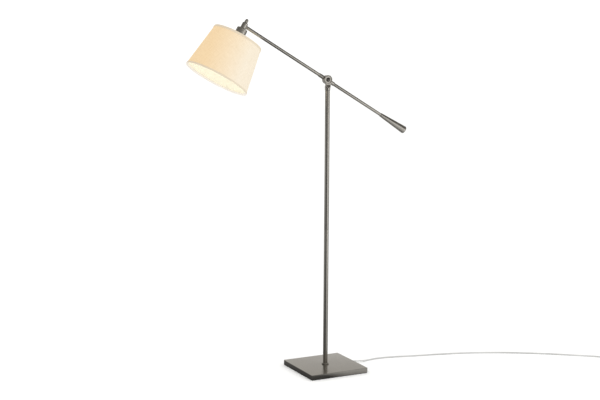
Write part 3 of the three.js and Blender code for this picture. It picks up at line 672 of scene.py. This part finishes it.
def make_plug():
    """Moulded two-pin plug: a ribbed sleeve that widens into the grip, and two flat blades."""
    matrix = coil_frame()[0]
    ahead, left = (matrix.to_3x3() @ Vector(way) for way in ((1, 0, 0), (0, 1, 0)))
    low, high = span("plug_body", matrix)
    across = axes(matrix @ Vector((0, 0, (low.z + high.z) / 2)), left, ahead)
    wide, thick = high.y, (high.z - low.z) / 2
    sections = [(low.x + at, *rest) for at, *rest in PLUG_SLEEVE]
    sections += [
        (low.x + 0.03, wide - 0.0006, thick - 0.0002, 3.0), (low.x + 0.036, wide, thick, 3.4),
        (high.x - 0.0042, wide, thick, 3.6), (high.x - 0.0012, wide - 0.0005, thick - 0.0004, 3.6),
        (high.x - 0.0003, wide - 0.0012, thick - 0.0011, 3.6),
        (high.x, wide - 0.0022, thick - 0.0021, 3.6),
    ]
    rings = [[(x, y, at) for x, y in superellipse(*shape)] for at, *shape in sections]
    body = stand_in(loft("plug", rings, 40), across, "plug_body", CORD_CLEAR)
    blades = []
    for node in ("plug_blade_left", "plug_blade_right"):
        near, far = span(node, matrix)
        middle = (near + far) / 2
        length, half, upright = far.x - near.x, (far.y - near.y) / 2, (far.z - near.z) / 2
        outline = [
            (0, -upright), (length - 0.0016, -upright), (length, -upright + 0.0014),
            (length, upright - 0.0014), (length - 0.0016, upright), (0, upright),
        ]
        place = axes(matrix @ Vector((near.x, middle.y, middle.z)), ahead, -left)
        blade = slab(node.replace("plug_", ""), outline, -half, half, 0.0003, 3)
        drill(blade, 0.0016, -0.01, 0.01, Matrix.Translation((length - 0.0045, 0, 0)), 24)
        blades.append(stand_in(blade, place, node))
    return [body, *blades]


def make_tie():
    """A narrow strap round the coil's turns."""
    matrix, outer = coil_frame()
    angle = math.radians(120)
    middle, height = outer - CORD_DIAMETER / 2, COIL_REST + CORD_DIAMETER / 2
    across = Vector((math.sin(angle), -math.cos(angle), 0))
    centre = matrix @ Vector((middle * across.x, outer + middle * across.y, height))
    away = matrix.to_3x3() @ across
    place = axes(centre, away, away.cross(Vector((0, 0, 1))))
    half = CORD_DIAMETER + 0.00045
    rings = []
    for thickness, edge in ((0.0, 0.0016), (0.0, 0.002), (0.0005, 0.002), (0.0005, 0.0016)):
        reach = half + thickness
        rings.append([(x, y, edge) for x, y in superellipse(reach, reach, 5.0, 72)])
    back = [[(x, y, -z) for x, y, z in ring] for ring in reversed(rings)]
    tie = loft("cord_tie", [*rings, *back], 40, closed=True)
    tie.matrix_world = place
    plastic = speckled("tie", (0.5, 0.5, 0.49), (0.62, 0.62, 0.6), 500, (0.4, 0.6), 0.00005)
    tie.data.materials.append(plastic)
    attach(tie, BODY_OF["cord_coil"])
    return tie


cord = make_cord()
gland = make_gland()
plug_pieces = make_plug()
tie = make_tie()

# ---- base and pole


def rounded_square(size, corner, steps=8):
    inner, points = size / 2 - corner, []
    for start, x, y in ((0, 1, 1), (90, -1, 1), (180, -1, -1), (270, 1, -1)):
        points += arc(x * inner, y * inner, corner, start, start + 90, steps)
    return points


def make_base():
    low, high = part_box("base_cover")
    gland_low, gland_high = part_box("cord_gland")
    size, wall, nipple_hole = high.x - low.x, 0.0012, 0.00655
    shell = slab("base_shell", rounded_square(size, 0.004), low.z, high.z, 0.0009)
    inside = rounded_square(size - 2 * wall, 0.004 - wall)
    combine(shell, slab("tool", inside, low.z - 0.01, high.z - wall, 0.0004), "DIFFERENCE")
    drill(shell, nipple_hole, 0, 0.05)
    middle = (gland_low + gland_high) / 2
    side = axes((high.x, middle.y, middle.z), (0, 0, 1), (1, 0, 0))
    drill(shell, 0.0052, -0.005, 0.005, side)
    return stand_in(shell, UPRIGHT, "base_cover", NICKEL_FLAT)


def make_collar():
    """Turned ring at the pole's foot, with a fine groove above its base."""
    low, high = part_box("foot_collar")
    inner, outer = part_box("mast_lower")[1].x + 0.00035, high.x
    profile = [
        (inner, low.z), (outer, low.z), *groove(outer, low.z + 0.0012, 0.0005, 0.0002, 0.0003),
        (outer, high.z - 0.0012), (outer - 0.0003, high.z - 0.0005), (outer - 0.0012, high.z),
        (inner, high.z),
    ]
    return stand_in(lathe("collar", eased(profile, 0.0003)), UPRIGHT, "foot_collar")


def make_pole():
    for node in ("mast_lower", "mast_upper"):
        low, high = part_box(node)
        section = tube_section(high.x - 0.0012, high.x, low.z, high.z, 0.0004)
        stand_in(lathe(node.replace("mast", "pole"), section), UPRIGHT, node, NICKEL_ALONG)


# ---- neck, pivot and hub

IN_HUB = 0.0125  # from the pivot, inside the hub's wall, where what joins the hub begins
NECK_ROUNDING = 0.0016
FLARE_TOP = math.radians(35)  # below the horizontal, where the flank leaves the eye's circle
FLARE_BOTTOM = 0.027  # below the pivot, where the flank has come in to the neck's width


def flank(drop, eye, width):
    """Half width of the neck at that drop below the pivot: an S curve out of the eye's circle."""
    start, out = eye * math.sin(FLARE_TOP), eye * math.cos(FLARE_TOP)
    t = min(1.0, max(0.0, (drop - start) / (FLARE_BOTTOM - start)))
    slope = -math.tan(FLARE_TOP) * (FLARE_BOTTOM - start)
    return blend(out, slope, width, 0.0, t)


def make_neck():
    """Eye ring with a recess for the bolt, on a forged neck that goes from flat to round."""
    low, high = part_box("swivel_neck")
    eye, width = high.x, 0.01075
    front, back, recess_floor, recess = -0.0075, 0.0006, -0.0053, 0.0135
    bottom = PIVOT.z - low.z
    thick, centre = (back - front) / 2, (back + front) / 2
    rings = []
    foot = arc(width - NECK_ROUNDING, bottom - NECK_ROUNDING, NECK_ROUNDING, 90, 0, 5)
    rings += [(drop, radius, radius, 0.0, 2.0) for radius, drop in foot]
    for step in range(25):
        drop = 0.034 - step / 24 * 0.025
        flat = ramp(-drop, -0.034, -0.019)
        rings.append((
            drop,
            width + (flank(drop, eye, width) - width) * flat - 0.0001,
            width + (thick - 0.00005 - width) * flat,
            centre * flat,
            2 + 7 * flat,
        ))
    outlines = [
        [(x, drop, y + middle) for x, y in superellipse(wide, deep, power, 72)]
        for drop, wide, deep, middle, power in rings
    ]
    neck = loft("neck", outlines, 40)
    rim = 0.0018
    disc = [
        (0, front), *arc(eye - rim, front + rim, rim, -90, 0, 6),
        (eye, back - 0.0008), (eye - 0.0008, back), (0, back),
    ]
    combine(neck, lathe("tool", disc, 128))
    mouth = [
        (0, -0.02), (recess + rim, -0.02),
        *arc(recess + rim, front - 0.00002 + rim, rim, -90, -180, 6),
        (recess, recess_floor), (0, recess_floor),
    ]
    combine(neck, lathe("tool", mouth, 128), "DIFFERENCE")
    drill(neck, 0.00335, -0.02, 0.02)
    stud = axes((0, bottom, 0), (1, 0, 0), (0, -1, 0))
    drill(neck, 0.00545, -0.001, 0.017, stud)
    return stand_in(neck, BOLT_AXES, "swivel_neck", NICKEL_ROUND)


def make_bolt():
    """Domed bolt with a hexagon socket."""
    low, high = span("pivot_bolt", BOLT_AXES)
    rim, shank, seat = high.x, 0.003, low.z + 0.0044
    edge = seat - 0.0006
    dome = arc(0, edge, rim, -90, 0, 8, edge - low.z)
    profile = [*dome, (rim, seat), (shank, seat), (shank, high.z), (0, high.z)]
    bolt = lathe("bolt", eased(profile, 0.0003, 3), 72)
    drill(bolt, 0.0029, low.z - 0.001, low.z + 0.0026, UPRIGHT, 6)
    return stand_in(bolt, BOLT_AXES, "pivot_bolt", BOLT_METAL)


def make_hub():
    """The boom's turned hub, with the stubs that the two arm tubes slide over."""
    low, high = span("arm_hub", BOLT_AXES)
    cap_low, cap_high = span("hub_cap", BOLT_AXES)
    front, back, outer, stub, bore = low.z, high.z, 0.017, 0.00505, 0.00335
    reach, nut, nut_seat = 0.044, 0.0083, back - 0.006
    profile = [
        (bore, front), (outer, front), (outer, back),
        (nut, back), (nut, nut_seat), (bore, nut_seat),
    ]
    hub = lathe("hub", eased(profile, 0.0009), 128)
    to_arm = BOLT_AXES.inverted() @ ARM_AXES
    for way in (-1, 1):
        start, end = sorted((way * IN_HUB, way * reach))
        rod = lathe("tool", tube_section(0, stub, start, end, 0.0004), 48)
        rod.data.transform(to_arm)
        combine(hub, rod)
    drill(hub, 0.0026, -reach - 0.001, -0.009, to_arm)
    stand_in(hub, BOLT_AXES, "arm_hub")

    edge, lip = cap_high.x, back + 0.0003
    dome, brow = edge - 0.0019, lip + 0.0019
    spun = [
        (0, lip), (0.0071, lip), (0.0071, cap_low.z), (0.0079, cap_low.z), (0.0079, lip),
        (edge, lip), (edge, lip + 0.0007), (edge - 0.0006, lip + 0.0012),
        (edge - 0.0016, lip + 0.0013), *arc(0, brow, dome, 0, 90, 6, cap_high.z - brow),
    ]
    return stand_in(lathe("dome_cap", spun, 72), BOLT_AXES, "hub_cap")


# ---- boom


def make_ferrules():
    """Sleeves over the arm tubes' ends, cut to the hub's curve and grooved near their outer end."""
    hub_cut = ARM_AXES.inverted() @ BOLT_AXES
    for node, way in (("front_ferrule", -1), ("rear_ferrule", 1)):
        low, high = span(node, ARM_AXES)
        outer, inner = high.x, span("front_arm", ARM_AXES)[1].x + 0.0003
        end = max(abs(low.z), abs(high.z))
        section = [
            (inner, IN_HUB), (outer, IN_HUB), *groove(outer, end - 0.004, 0.0004, 0.0002, 0.0005),
            (outer, end - 0.0012), (outer - 0.0003, end - 0.0004), (outer - 0.001, end),
            (inner, end),
        ]
        section = [(radius, way * height) for radius, height in section]
        sleeve = lathe(node.replace("_", "_sleeve_"), eased(section, 0.0002, 3), 72)
        drill(sleeve, 0.0173, -0.05, 0.05, hub_cut, 128)
        stand_in(sleeve, ARM_AXES, node)


def make_arms():
    for node in ("front_arm", "rear_arm"):
        low, high = span(node, ARM_AXES)
        section = tube_section(high.x - 0.001, high.x, low.z, high.z, 0.0004)
        stand_in(lathe(node.replace("arm", "tube"), section, 64), ARM_AXES, node, NICKEL_ALONG)


def make_counterweight():
    low, high = span("counterweight", ARM_AXES)
    tube, near, far = span("rear_arm", ARM_AXES)[1], 0.0078, high.x
    pocket, insert, bore = tube.z + 0.0005, 0.00335, tube.x + 0.0003
    outline = [
        (0, pocket + 0.035), (insert, pocket + 0.035), (insert, pocket), (bore, pocket),
        (bore, low.z), (near, low.z), (far - 0.0001, high.z - 0.005), (far, high.z - 0.003),
        (far - 0.0007, high.z - 0.0009), (far - 0.0028, high.z), (0, high.z),
    ]
    weight = lathe("tapered_weight", eased(outline, 0.0009, 5), 96)
    return stand_in(weight, ARM_AXES, "counterweight")


# ---- lamp head


def make_swivel():
    """The head's turned body and the boss that the arm's spigot enters."""
    low, high = span("swivel_body", HEAD_AXES)
    radius, boss, cavity = high.y, 0.0069, 0.007
    outline = [
        (0, low.z), (radius, low.z), *groove(radius, low.z + 0.0019, 0.0005, 0.0003, 0.0005),
        (radius, high.z - 0.003), (radius - 0.0009, high.z - 0.001), (radius - 0.003, high.z),
        (0, high.z),
    ]
    body = lathe("swivel", eased(outline, 0.0007, 4))
    to_arm = axes((0, 0, 0), (0, 1, 0), (1, 0, 0))
    stub = lathe("tool", tube_section(0, boss, 0.002, high.x, 0.0005), 64)
    stub.data.transform(to_arm)
    combine(body, stub)
    drill(body, cavity, low.z + 0.0032, high.z - 0.003)
    drill(body, 0.0054, low.z - 0.001, low.z + 0.004)
    drill(body, 0.00215, high.z - 0.004, high.z + 0.001)
    drill(body, 0.00355, 0.004, 0.014, to_arm)
    return stand_in(body, HEAD_AXES, "swivel_body")


def make_knob():
    """Switch knob with a domed top and fine flutes to grip."""
    low, high = span("switch_knob", HEAD_AXES)
    radius, bore, depth, flutes = high.y, 0.00215, 0.0086, 28
    shoulder, crown = low.z + 0.0092, high.z
    side = [low.z + 0.0011 + step / 6 * (shoulder - low.z - 0.0018) for step in range(7)]
    outline = [(bore, low.z), (radius - 0.0006, low.z), (radius - 0.0001, low.z + 0.0005)]
    outline += [(radius, z) for z in side]
    outline += [(radius - 0.0005, shoulder - 0.0002), (radius - 0.0006, shoulder + 0.0002)]
    spring = shoulder + 0.0005
    for step in range(9):
        angle = step / 9 * math.pi / 2
        across = radius * (0.92 * math.cos(angle)) ** 0.8 * 0.98
        outline.append((across, spring + (crown - spring) * math.sin(angle)))
    outline += [(0, crown), (0, low.z + depth), (bore, low.z + depth)]

    def flute(angle, r, z):
        inside = r > radius - 0.00005 and side[0] <= z <= side[-1]
        return -0.00035 * (0.5 + 0.5 * math.cos(flutes * angle)) if inside else 0.0

    return stand_in(lathe("knob", outline, flutes * 8, flute, 40), HEAD_AXES, "switch_knob")


def make_cup():
    """Spun socket cup with a rolled bead at its open end."""
    low, high = span("socket_cup", HEAD_AXES)
    wall, corner, hole = 0.001, 0.0032, 0.0054
    bead = 0.0008
    radius = high.y - bead
    turn_in, turn_down = radius - corner, high.z - corner
    outline = [
        (hole, high.z), *arc(turn_in, turn_down, corner, 90, 0, 8), (radius, low.z + 0.0042),
        *arc(radius, low.z + 0.0018, bead, 90, -90, 6, 0.0014),
        (radius - 0.0002, low.z), (radius - wall, low.z),
        *arc(turn_in, turn_down, corner - wall, 0, 90, 8), (hole, high.z - wall),
    ]
    return stand_in(lathe("cup", outline, 128), HEAD_AXES, "socket_cup", CUP_METAL)


def threads(low, high, depth, pitch=0.0035):
    """A ripple that runs round the surface as a screw thread between two heights."""
    def ripple(angle, radius, height):
        ends = ramp(height, low, low + 0.001) * (1 - ramp(height, high - 0.001, high))
        return depth * ends * math.sin(math.tau * height / pitch - angle)
    return ripple


def steps_between(first, last, size=0.0004):
    """Points along the straight line between two (radius, height) points."""
    count = max(1, round(abs(last[1] - first[1]) / size))
    return [tuple(Vector(first).lerp(Vector(last), i / count)) for i in range(count + 1)]


def make_holder():
    """Threaded lampholder, the screw shell in it and the ring nut that clamps the shade."""
    low, high = span("lampholder", HEAD_AXES)
    outer, bore, floor = high.y, 0.0147, -0.052
    root = outer - 0.0004
    outside = steps_between((root, -0.066), (root, low.z + 0.002))
    outline = [
        (0, high.z), (outer, high.z), (outer, -0.0655), *outside, (outer - 0.0014, low.z),
        (bore, low.z), (bore, floor), (0, floor),
    ]
    thread = threads(low.z + 0.002, -0.066, 0.0004)

    def outer_only(angle, radius, height):
        return thread(angle, radius, height) if radius > bore + 0.001 else 0.0

    stand_in(lathe("holder", outline, 72, outer_only), HEAD_AXES, "lampholder")

    low, high = span("screw_shell", HEAD_AXES)
    radius = high.y - 0.00025
    inner = radius - 0.0005
    out = steps_between((radius, high.z), (radius, low.z))
    back = steps_between((inner, low.z), (inner, high.z))
    shell = lathe("threaded_shell", [*out, *back], 72, threads(low.z, high.z, 0.00022))
    stand_in(shell, HEAD_AXES, "screw_shell")

    low, high = span("ring_nut", HEAD_AXES)
    radius, inner = high.y - 0.0003, 0.01895
    outline = eased([(inner, high.z), (radius, high.z), (radius, low.z), (inner, low.z)], 0.0009)

    def grip(angle, r, z):
        notch = 0.0009 * (0.5 + 0.5 * math.cos(20 * angle)) ** 3
        return 0.0003 - notch if r > radius - 0.0012 else 0.0

    stand_in(lathe("clamp_ring", outline, 160, grip, 40), HEAD_AXES, "ring_nut")


def make_bulb():
    low, high = span("bulb_cap", HEAD_AXES)
    radius, wall, shoulder = high.y - 0.0002, 0.0007, high.z - 0.006
    outside = steps_between((radius, shoulder), (radius, low.z))
    inside = steps_between((radius - wall, low.z), (radius - wall, shoulder - 0.0006))
    outline = [
        (0, high.z), (0.0042, high.z), (0.0046, high.z - 0.0005), (0.0085, high.z - 0.003),
        *outside, *inside, (0.0082, high.z - 0.0038), (0, high.z - 0.002),
    ]
    wave = threads(low.z + 0.001, shoulder, 0.0002)

    def side_only(angle, r, z):
        return wave(angle, r, z) if r > 0.011 else 0.0

    stand_in(lathe("bulb_screw", outline, 72, side_only), HEAD_AXES, "bulb_cap")

    low, high = span("bulb_globe", HEAD_AXES)
    radius, neck, wall, leave = 0.03, 0.0122, 0.0011, 32
    turn = math.radians(leave)
    lean, upright = Vector((-math.sin(turn), math.cos(turn))) * 0.03, Vector((0, 0.03))

    def skin(inset_by):
        points = arc(0, low.z + radius, radius - inset_by, -90, leave, 24)
        start, end = Vector(points[-1]), Vector((neck - inset_by, -0.083))
        points += [tuple(blend(start, lean, end, upright, step / 12)) for step in range(1, 13)]
        return [*points, (neck - inset_by, high.z)]

    globe = lathe("globe", [*skin(0.0), *reversed(skin(wall))], 72)
    return stand_in(globe, HEAD_AXES, "bulb_globe")


# ---- shade

SEAM_ANGLE = math.pi * 0.5  # the glued seam is at the back, away from the camera
SEAM_WIDTH = 0.010
SHEET_THICKNESS = 0.00045


def shade_cone():
    """(top radius, bottom radius, bottom height, top height) of the fabric's outer face."""
    low, high = span("shade_fabric", HEAD_AXES)
    back = HEAD_AXES.inverted()
    rim = [back @ vertex.co for vertex in frame["nodes"]["shade_fabric"].data.vertices]
    widest = max(Vector(p.xy).length for p in rim)
    upper = max(Vector(p.xy).length for p in rim if p.z > (low.z + high.z) / 2)
    return upper, widest, low.z, high.z


def make_shade():
    """Shade skin: linen on white styrene, cut flat, rolled into a cone and glued along one seam."""
    top, bottom, low, high = shade_cone()
    lean = math.atan2(bottom - top, high - low)
    lap = SEAM_WIDTH / ((top + bottom) / 2)
    around, up = 200, 14
    turn = math.tau + lap
    mesh = bmesh.new()
    layer = mesh.loops.layers.uv.new("cut")
    grids = []
    for side in (0, 1):
        grid = []
        for i in range(around + 1):
            angle = turn * i / around
            lift = ramp(angle, math.tau - 0.05, math.tau - 0.005) - 1
            depth = lift * SHEET_THICKNESS - (side + 0.05) * SHEET_THICKNESS
            row = []
            for j in range(up + 1):
                height = low + (high - low) * j / up
                radius = bottom + (top - bottom) * j / up + depth
                where = SEAM_ANGLE + angle
                corner = mesh.verts.new((radius * math.cos(where), radius * math.sin(where), height))
                row.append((corner, angle, radius))
            grid.append(row)
        grids.append(grid)

    def strip(first, second, material=0):
        """Faces between two rows of corners, laid out on the flat cut."""
        for corners in zip(first, second, second[1:], first[1:]):
            made = mesh.faces.new([corner[0] for corner in corners])
            made.material_index = material
            for loop, (_, angle, radius) in zip(made.loops, corners):
                slant, bend = radius / math.sin(lean), angle * math.sin(lean)
                loop[layer].uv = (slant * math.sin(bend), slant * math.cos(bend))

    outer, inner = grids
    for i in range(around):
        strip(outer[i], outer[i + 1])
        strip(inner[i + 1], inner[i], 1)
    for j in (0, up):
        strip([row[j] for row in outer], [row[j] for row in inner])
    for i in (0, around):
        strip(outer[i], inner[i])
    shade_skin = finish_mesh("shade_skin", mesh, 50)
    shade_skin.data.materials.append(LINEN)
    shade_skin.data.materials.append(PAINTED_GLOW_LINER)
    stand_in(shade_skin, HEAD_AXES, "shade_fabric")

    flare = math.sin(lean)
    inside, outside, bend = top / flare, bottom / flare, turn * flare
    flat = (2 * outside * math.sin(bend / 2), outside - inside * math.cos(bend / 2))
    return shade_skin, flat, bend * (outside**2 - inside**2) / 2


def ribbon(path, thickness):
    """Closed outline of a strip of that thickness that runs along a (radius, height) path."""
    sides = ([], [])
    for i, point in enumerate(path):
        way = (Vector(path[min(i + 1, len(path) - 1)]) - Vector(path[max(i - 1, 0)])).normalized()
        for side, sign in zip(sides, (0.5, -0.5)):
            side.append((point[0] - way.y * thickness * sign, point[1] + way.x * thickness * sign))
    return [*sides[0], *reversed(sides[1])]


WIRE = 0.0016  # radius of the two rings that stretch the shade
TAPE = 0.0005


def make_trim(node, name, way, ring_radius, ring_height):
    """Binding tape folded over a rim and rolled round its wire, with a lapped end at the shade's
    seam. way is 1 for the bottom rim and -1 for the top one."""
    low, high = span(node, HEAD_AXES)
    top, bottom, shade_low, shade_high = shade_cone()
    rim, end = (shade_low, high.z) if way > 0 else (shade_high, low.z)
    gap, cloth, roll = 0.0003, 2 * SHEET_THICKNESS, WIRE + 0.0006

    def at(offset, height):
        share = (height - shade_low) / (shade_high - shade_low)
        return (bottom + (top - bottom) * share + offset, height)

    outside = gap + TAPE / 2
    path = [at(outside, end + (rim - end) * step / 4) for step in range(5)]
    path += [
        at(outside - 0.0003, rim - way * 0.0004), at(-cloth / 2, rim - way * 0.0007),
        at(-cloth - gap, rim - way * 0.0003),
        *arc(ring_radius, ring_height, roll, -50, -290, 12, way * roll),
        at(-cloth - 0.0006, ring_height + way * (roll + 0.001)),
    ]

    def lapped(angle, radius, height):
        turned = (angle - SEAM_ANGLE + math.pi) % math.tau - math.pi
        step = ramp(turned, -0.004, 0.0) * (1 - ramp(turned, 0.11, 0.115))
        return 0.00035 * step if radius > at(outside, height)[0] else 0.0

    made = lathe(name, ribbon(path, TAPE), 240, lapped, 50)
    layer = made.data.uv_layers.new(name="cut")
    mean = top if way < 0 else bottom
    for polygon in made.data.polygons:
        middle = math.atan2(polygon.center.y, polygon.center.x)
        for loop in polygon.loop_indices:
            place = made.data.vertices[made.data.loops[loop].vertex_index].co
            angle = math.atan2(place.y, place.x)
            angle += math.tau * round((middle - angle) / math.tau)
            layer.data[loop].uv = (angle * mean, place.z + Vector(place.xy).length)
    return stand_in(made, HEAD_AXES, node, TRIM)


def torus(radius, height, wire, around=144, sides=14):
    return lathe("tool", arc(radius, height, wire, 0, 360, sides)[:-1], around)


def sweep(points, radius, sides=14):
    """Round bar along a line that stays in the local XZ plane."""
    rings = []
    for i, point in enumerate(points):
        way = (points[min(i + 1, len(points) - 1)] - points[max(i - 1, 0)]).normalized()
        across = Vector((0, 1, 0))
        up = way.cross(across)
        rings.append([
            point + (across * math.cos(angle) + up * math.sin(angle)) * radius
            for angle in (side * math.tau / sides for side in range(sides))
        ])
    return loft("tool", rings)


def gather(name, *parts):
    """One object from several overlapping ones, such as welded wires."""
    mesh = bmesh.new()
    for part in parts:
        mesh.from_mesh(part.data)
        bpy.data.objects.remove(part)
    return finish_mesh(name, mesh)


def make_shade_wires():
    low, high = span("shade_spider", HEAD_AXES)
    arm_wire, arms = 0.0014, 3
    ring = (high.y - low.y) / 2 - WIRE
    hub_outer, hub_inner, hub_high, hub_low = 0.0245, 0.01895, -0.066, -0.0679
    ring_height = high.z - WIRE
    parts = [
        lathe("tool", tube_section(hub_inner, hub_outer, hub_low, hub_high, 0.0004), 96),
        torus(ring, ring_height, WIRE),
    ]
    level = (hub_low + hub_high) / 2
    line = curve_through([
        (0.022, 0, level), (0.036, 0, level + 0.0006),
        (ring - 0.016, 0, ring_height - 0.003), (ring, 0, ring_height),
    ], 0.004)
    for arm in range(arms):
        rod = sweep(line, arm_wire)
        rod.data.transform(Matrix.Rotation(math.pi + arm * math.tau / arms, 4, "Z"))
        parts.append(rod)
    spider = stand_in(gather("spider", *parts), HEAD_AXES, "shade_spider")

    top_tape = make_trim("shade_top_trim", "top_tape", -1, ring, ring_height)

    low, high = span("shade_bottom_ring", HEAD_AXES)
    hoop_radius, hoop_height = (high.y - low.y) / 2 - WIRE, (low.z + high.z) / 2
    hoop = gather("bottom_hoop", torus(hoop_radius, hoop_height, WIRE))
    stand_in(hoop, HEAD_AXES, "shade_bottom_ring")
    bottom_tape = make_trim("shade_bottom_trim", "bottom_tape", 1, hoop_radius, hoop_height)
    return [spider, hoop], [top_tape, bottom_tape]


for make in (
    make_base, make_collar, make_pole, make_neck, make_bolt, make_hub, make_ferrules, make_arms,
    make_counterweight, make_swivel, make_knob, make_cup, make_holder, make_bulb,
):
    make()
skin, cut_size, cut_area = make_shade()
wires, tapes = make_shade_wires()

for name, node in frame["nodes"].items():
    node.data.materials.clear()
    node.data.materials.append(MATERIALS[SLOTS[name]])

# ---- floor, light and surroundings


def around_camera(azimuth, elevation):
    """Unit vector that many degrees to the right of the camera's own direction, and up."""
    turn, rise = CAMERA_AZIMUTH + math.radians(azimuth), math.radians(elevation)
    level = math.cos(rise)
    return Vector((math.sin(turn) * level, -math.cos(turn) * level, math.sin(rise)))


def lobe(nodes, way, azimuth, elevation, inner, outer, strength=1.0, **settings):
    """strength where way is within inner degrees of that direction, and nothing beyond outer."""
    near = nodes.vector("DOT_PRODUCT", way, around_camera(azimuth, elevation))
    edges = [math.cos(math.radians(angle)) for angle in (outer, inner)]
    return nodes.stretch(near, *edges, 0.0, strength, **settings)


DAYLIGHT = 1.12  # what the camera and matt surfaces see all round
STUDIO_BASE = 0.25
STUDIO_LOBES = [
    # azimuth, elevation, inner and outer half angle in degrees, strength added
    (180, 16, 15, 40, 0.28),
    (68, 3, 3, 9, 1.6),
    (30, 4, 10, 26, 0.25),
    (90, 26, 18, 45, -0.13),
    (100, 4, 12, 26, 0.45),
    (-70, 0, 20, 70, -0.08),
    (150, -5, 8, 35, 0.35),
    (-140, 0, 10, 50, 0.12),
]


def make_world():
    """White to the camera and matt surfaces. Metal mirrors a dim studio with a few soft panels."""
    world = bpy.data.worlds.new("studio")
    bpy.context.scene.world = world
    world.use_nodes = True
    world.cycles.sampling_method = "NONE"
    world.node_tree.nodes.clear()
    nodes = Nodes(world.node_tree)
    way = nodes.add("TexCoord").outputs["Generated"]
    total = STUDIO_BASE
    for panel in STUDIO_LOBES:
        light = lobe(nodes, way, *panel, interpolation_type="SMOOTHSTEP")
        total = nodes.math("ADD", light, total)
    mirrored = nodes.add("Background", {"Color": colour(1.0, 0.98, 0.95), "Strength": total})
    plain = nodes.add("Background", {"Color": colour(1, 1, 1), "Strength": DAYLIGHT})
    glossy = nodes.add("LightPath").outputs["Is Glossy Ray"]
    mixed = nodes.add("MixShader", {0: glossy, 1: plain.outputs[0], 2: mirrored.outputs[0]})
    nodes.add("OutputWorld", {"Surface": mixed.outputs[0]})


FLOOR_SIZE = 150.0
FLOOR_BASE = 0.1
FLOOR_GLOW = [
    # azimuth, inner and outer half angle in degrees, glow added at 0.5 m and at 10 m
    (62, 14, 48, 0.4, 1.1),
    (-100, 25, 75, 0.03, 0.42),
    (180, 30, 60, 0.2, 0.3),
]


def plane(name, size):
    mesh = bmesh.new()
    bmesh.ops.create_grid(mesh, x_segments=1, y_segments=1, size=size / 2)
    return finish_mesh(name, mesh)


def make_floor():
    """Pale matt floor, and a second floor that only mirrors see, with a painted shadow that darkens it beside the
    base.
    """
    floor = plane("floor", FLOOR_SIZE)
    matt = Shader("floor", Roughness=1.0, Specular_IOR_Level=0.0)
    tone = matt.mix(matt.noise(3, detail=3.0), (0.93, 0.93, 0.92), (0.96, 0.96, 0.95))
    floor.data.materials.append(matt.use(Base_Color=tone))
    floor.visible_glossy = False

    mirrored = plane("floor_in_mirrors", FLOOR_SIZE)
    black = {"Base_Color": colour(0, 0, 0), "Specular_IOR_Level": 0.0}
    shader = Shader("floor_in_mirrors", Emission_Strength=1.0, **black)
    way = shader.vector("NORMALIZE", shader.place())
    reach = shader.vector("LENGTH", shader.place())
    far = shader.stretch(shader.math("LOGARITHM", reach, 10.0), -0.3, 1.0)
    light = FLOOR_BASE
    for azimuth, inner, outer, near_glow, far_glow in FLOOR_GLOW:
        sector = lobe(shader, way, azimuth, 0, inner, outer)
        level = shader.stretch(far, 0.0, 1.0, near_glow, far_glow)
        light = shader.math("MULTIPLY_ADD", sector, level, light)
    # painted shadow: the mirrored floor is dimmed close to the base, standing in for the base's shadow on the
    # floor
    painted_base_shadow = shader.stretch(reach, 0.13, 0.24, 0.6, 1.0)
    glow = shader.math("MULTIPLY", light, painted_base_shadow)
    mirrored.data.materials.append(shader.use(Emission_Color=glow))
    for flag in ("camera", "diffuse", "transmission", "volume_scatter", "shadow"):
        setattr(mirrored, "visible_" + flag, False)


def make_softbox(place, target, width, height, watts):
    """One large soft light, which mirrors don't see."""
    data = bpy.data.lights.new("softbox", "AREA")
    data.shape, data.size, data.size_y = "RECTANGLE", width, height
    data.energy, data.color = watts, (1.0, 0.98, 0.95)
    light = bpy.data.objects.new("softbox", data)
    bpy.context.scene.collection.objects.link(light)
    away = (Vector(place) - Vector(target)).normalized()
    level = Vector((0, 0, 1)).cross(away).normalized()
    light.matrix_world = axes(place, level, away)
    light.visible_glossy = False


bpy.context.scene.view_settings.view_transform = "Standard"
make_world()
make_floor()
make_softbox(place=(1.1, -2.8, 0.9), target=(0, 0, 0.9), width=2.4, height=1.2, watts=14)
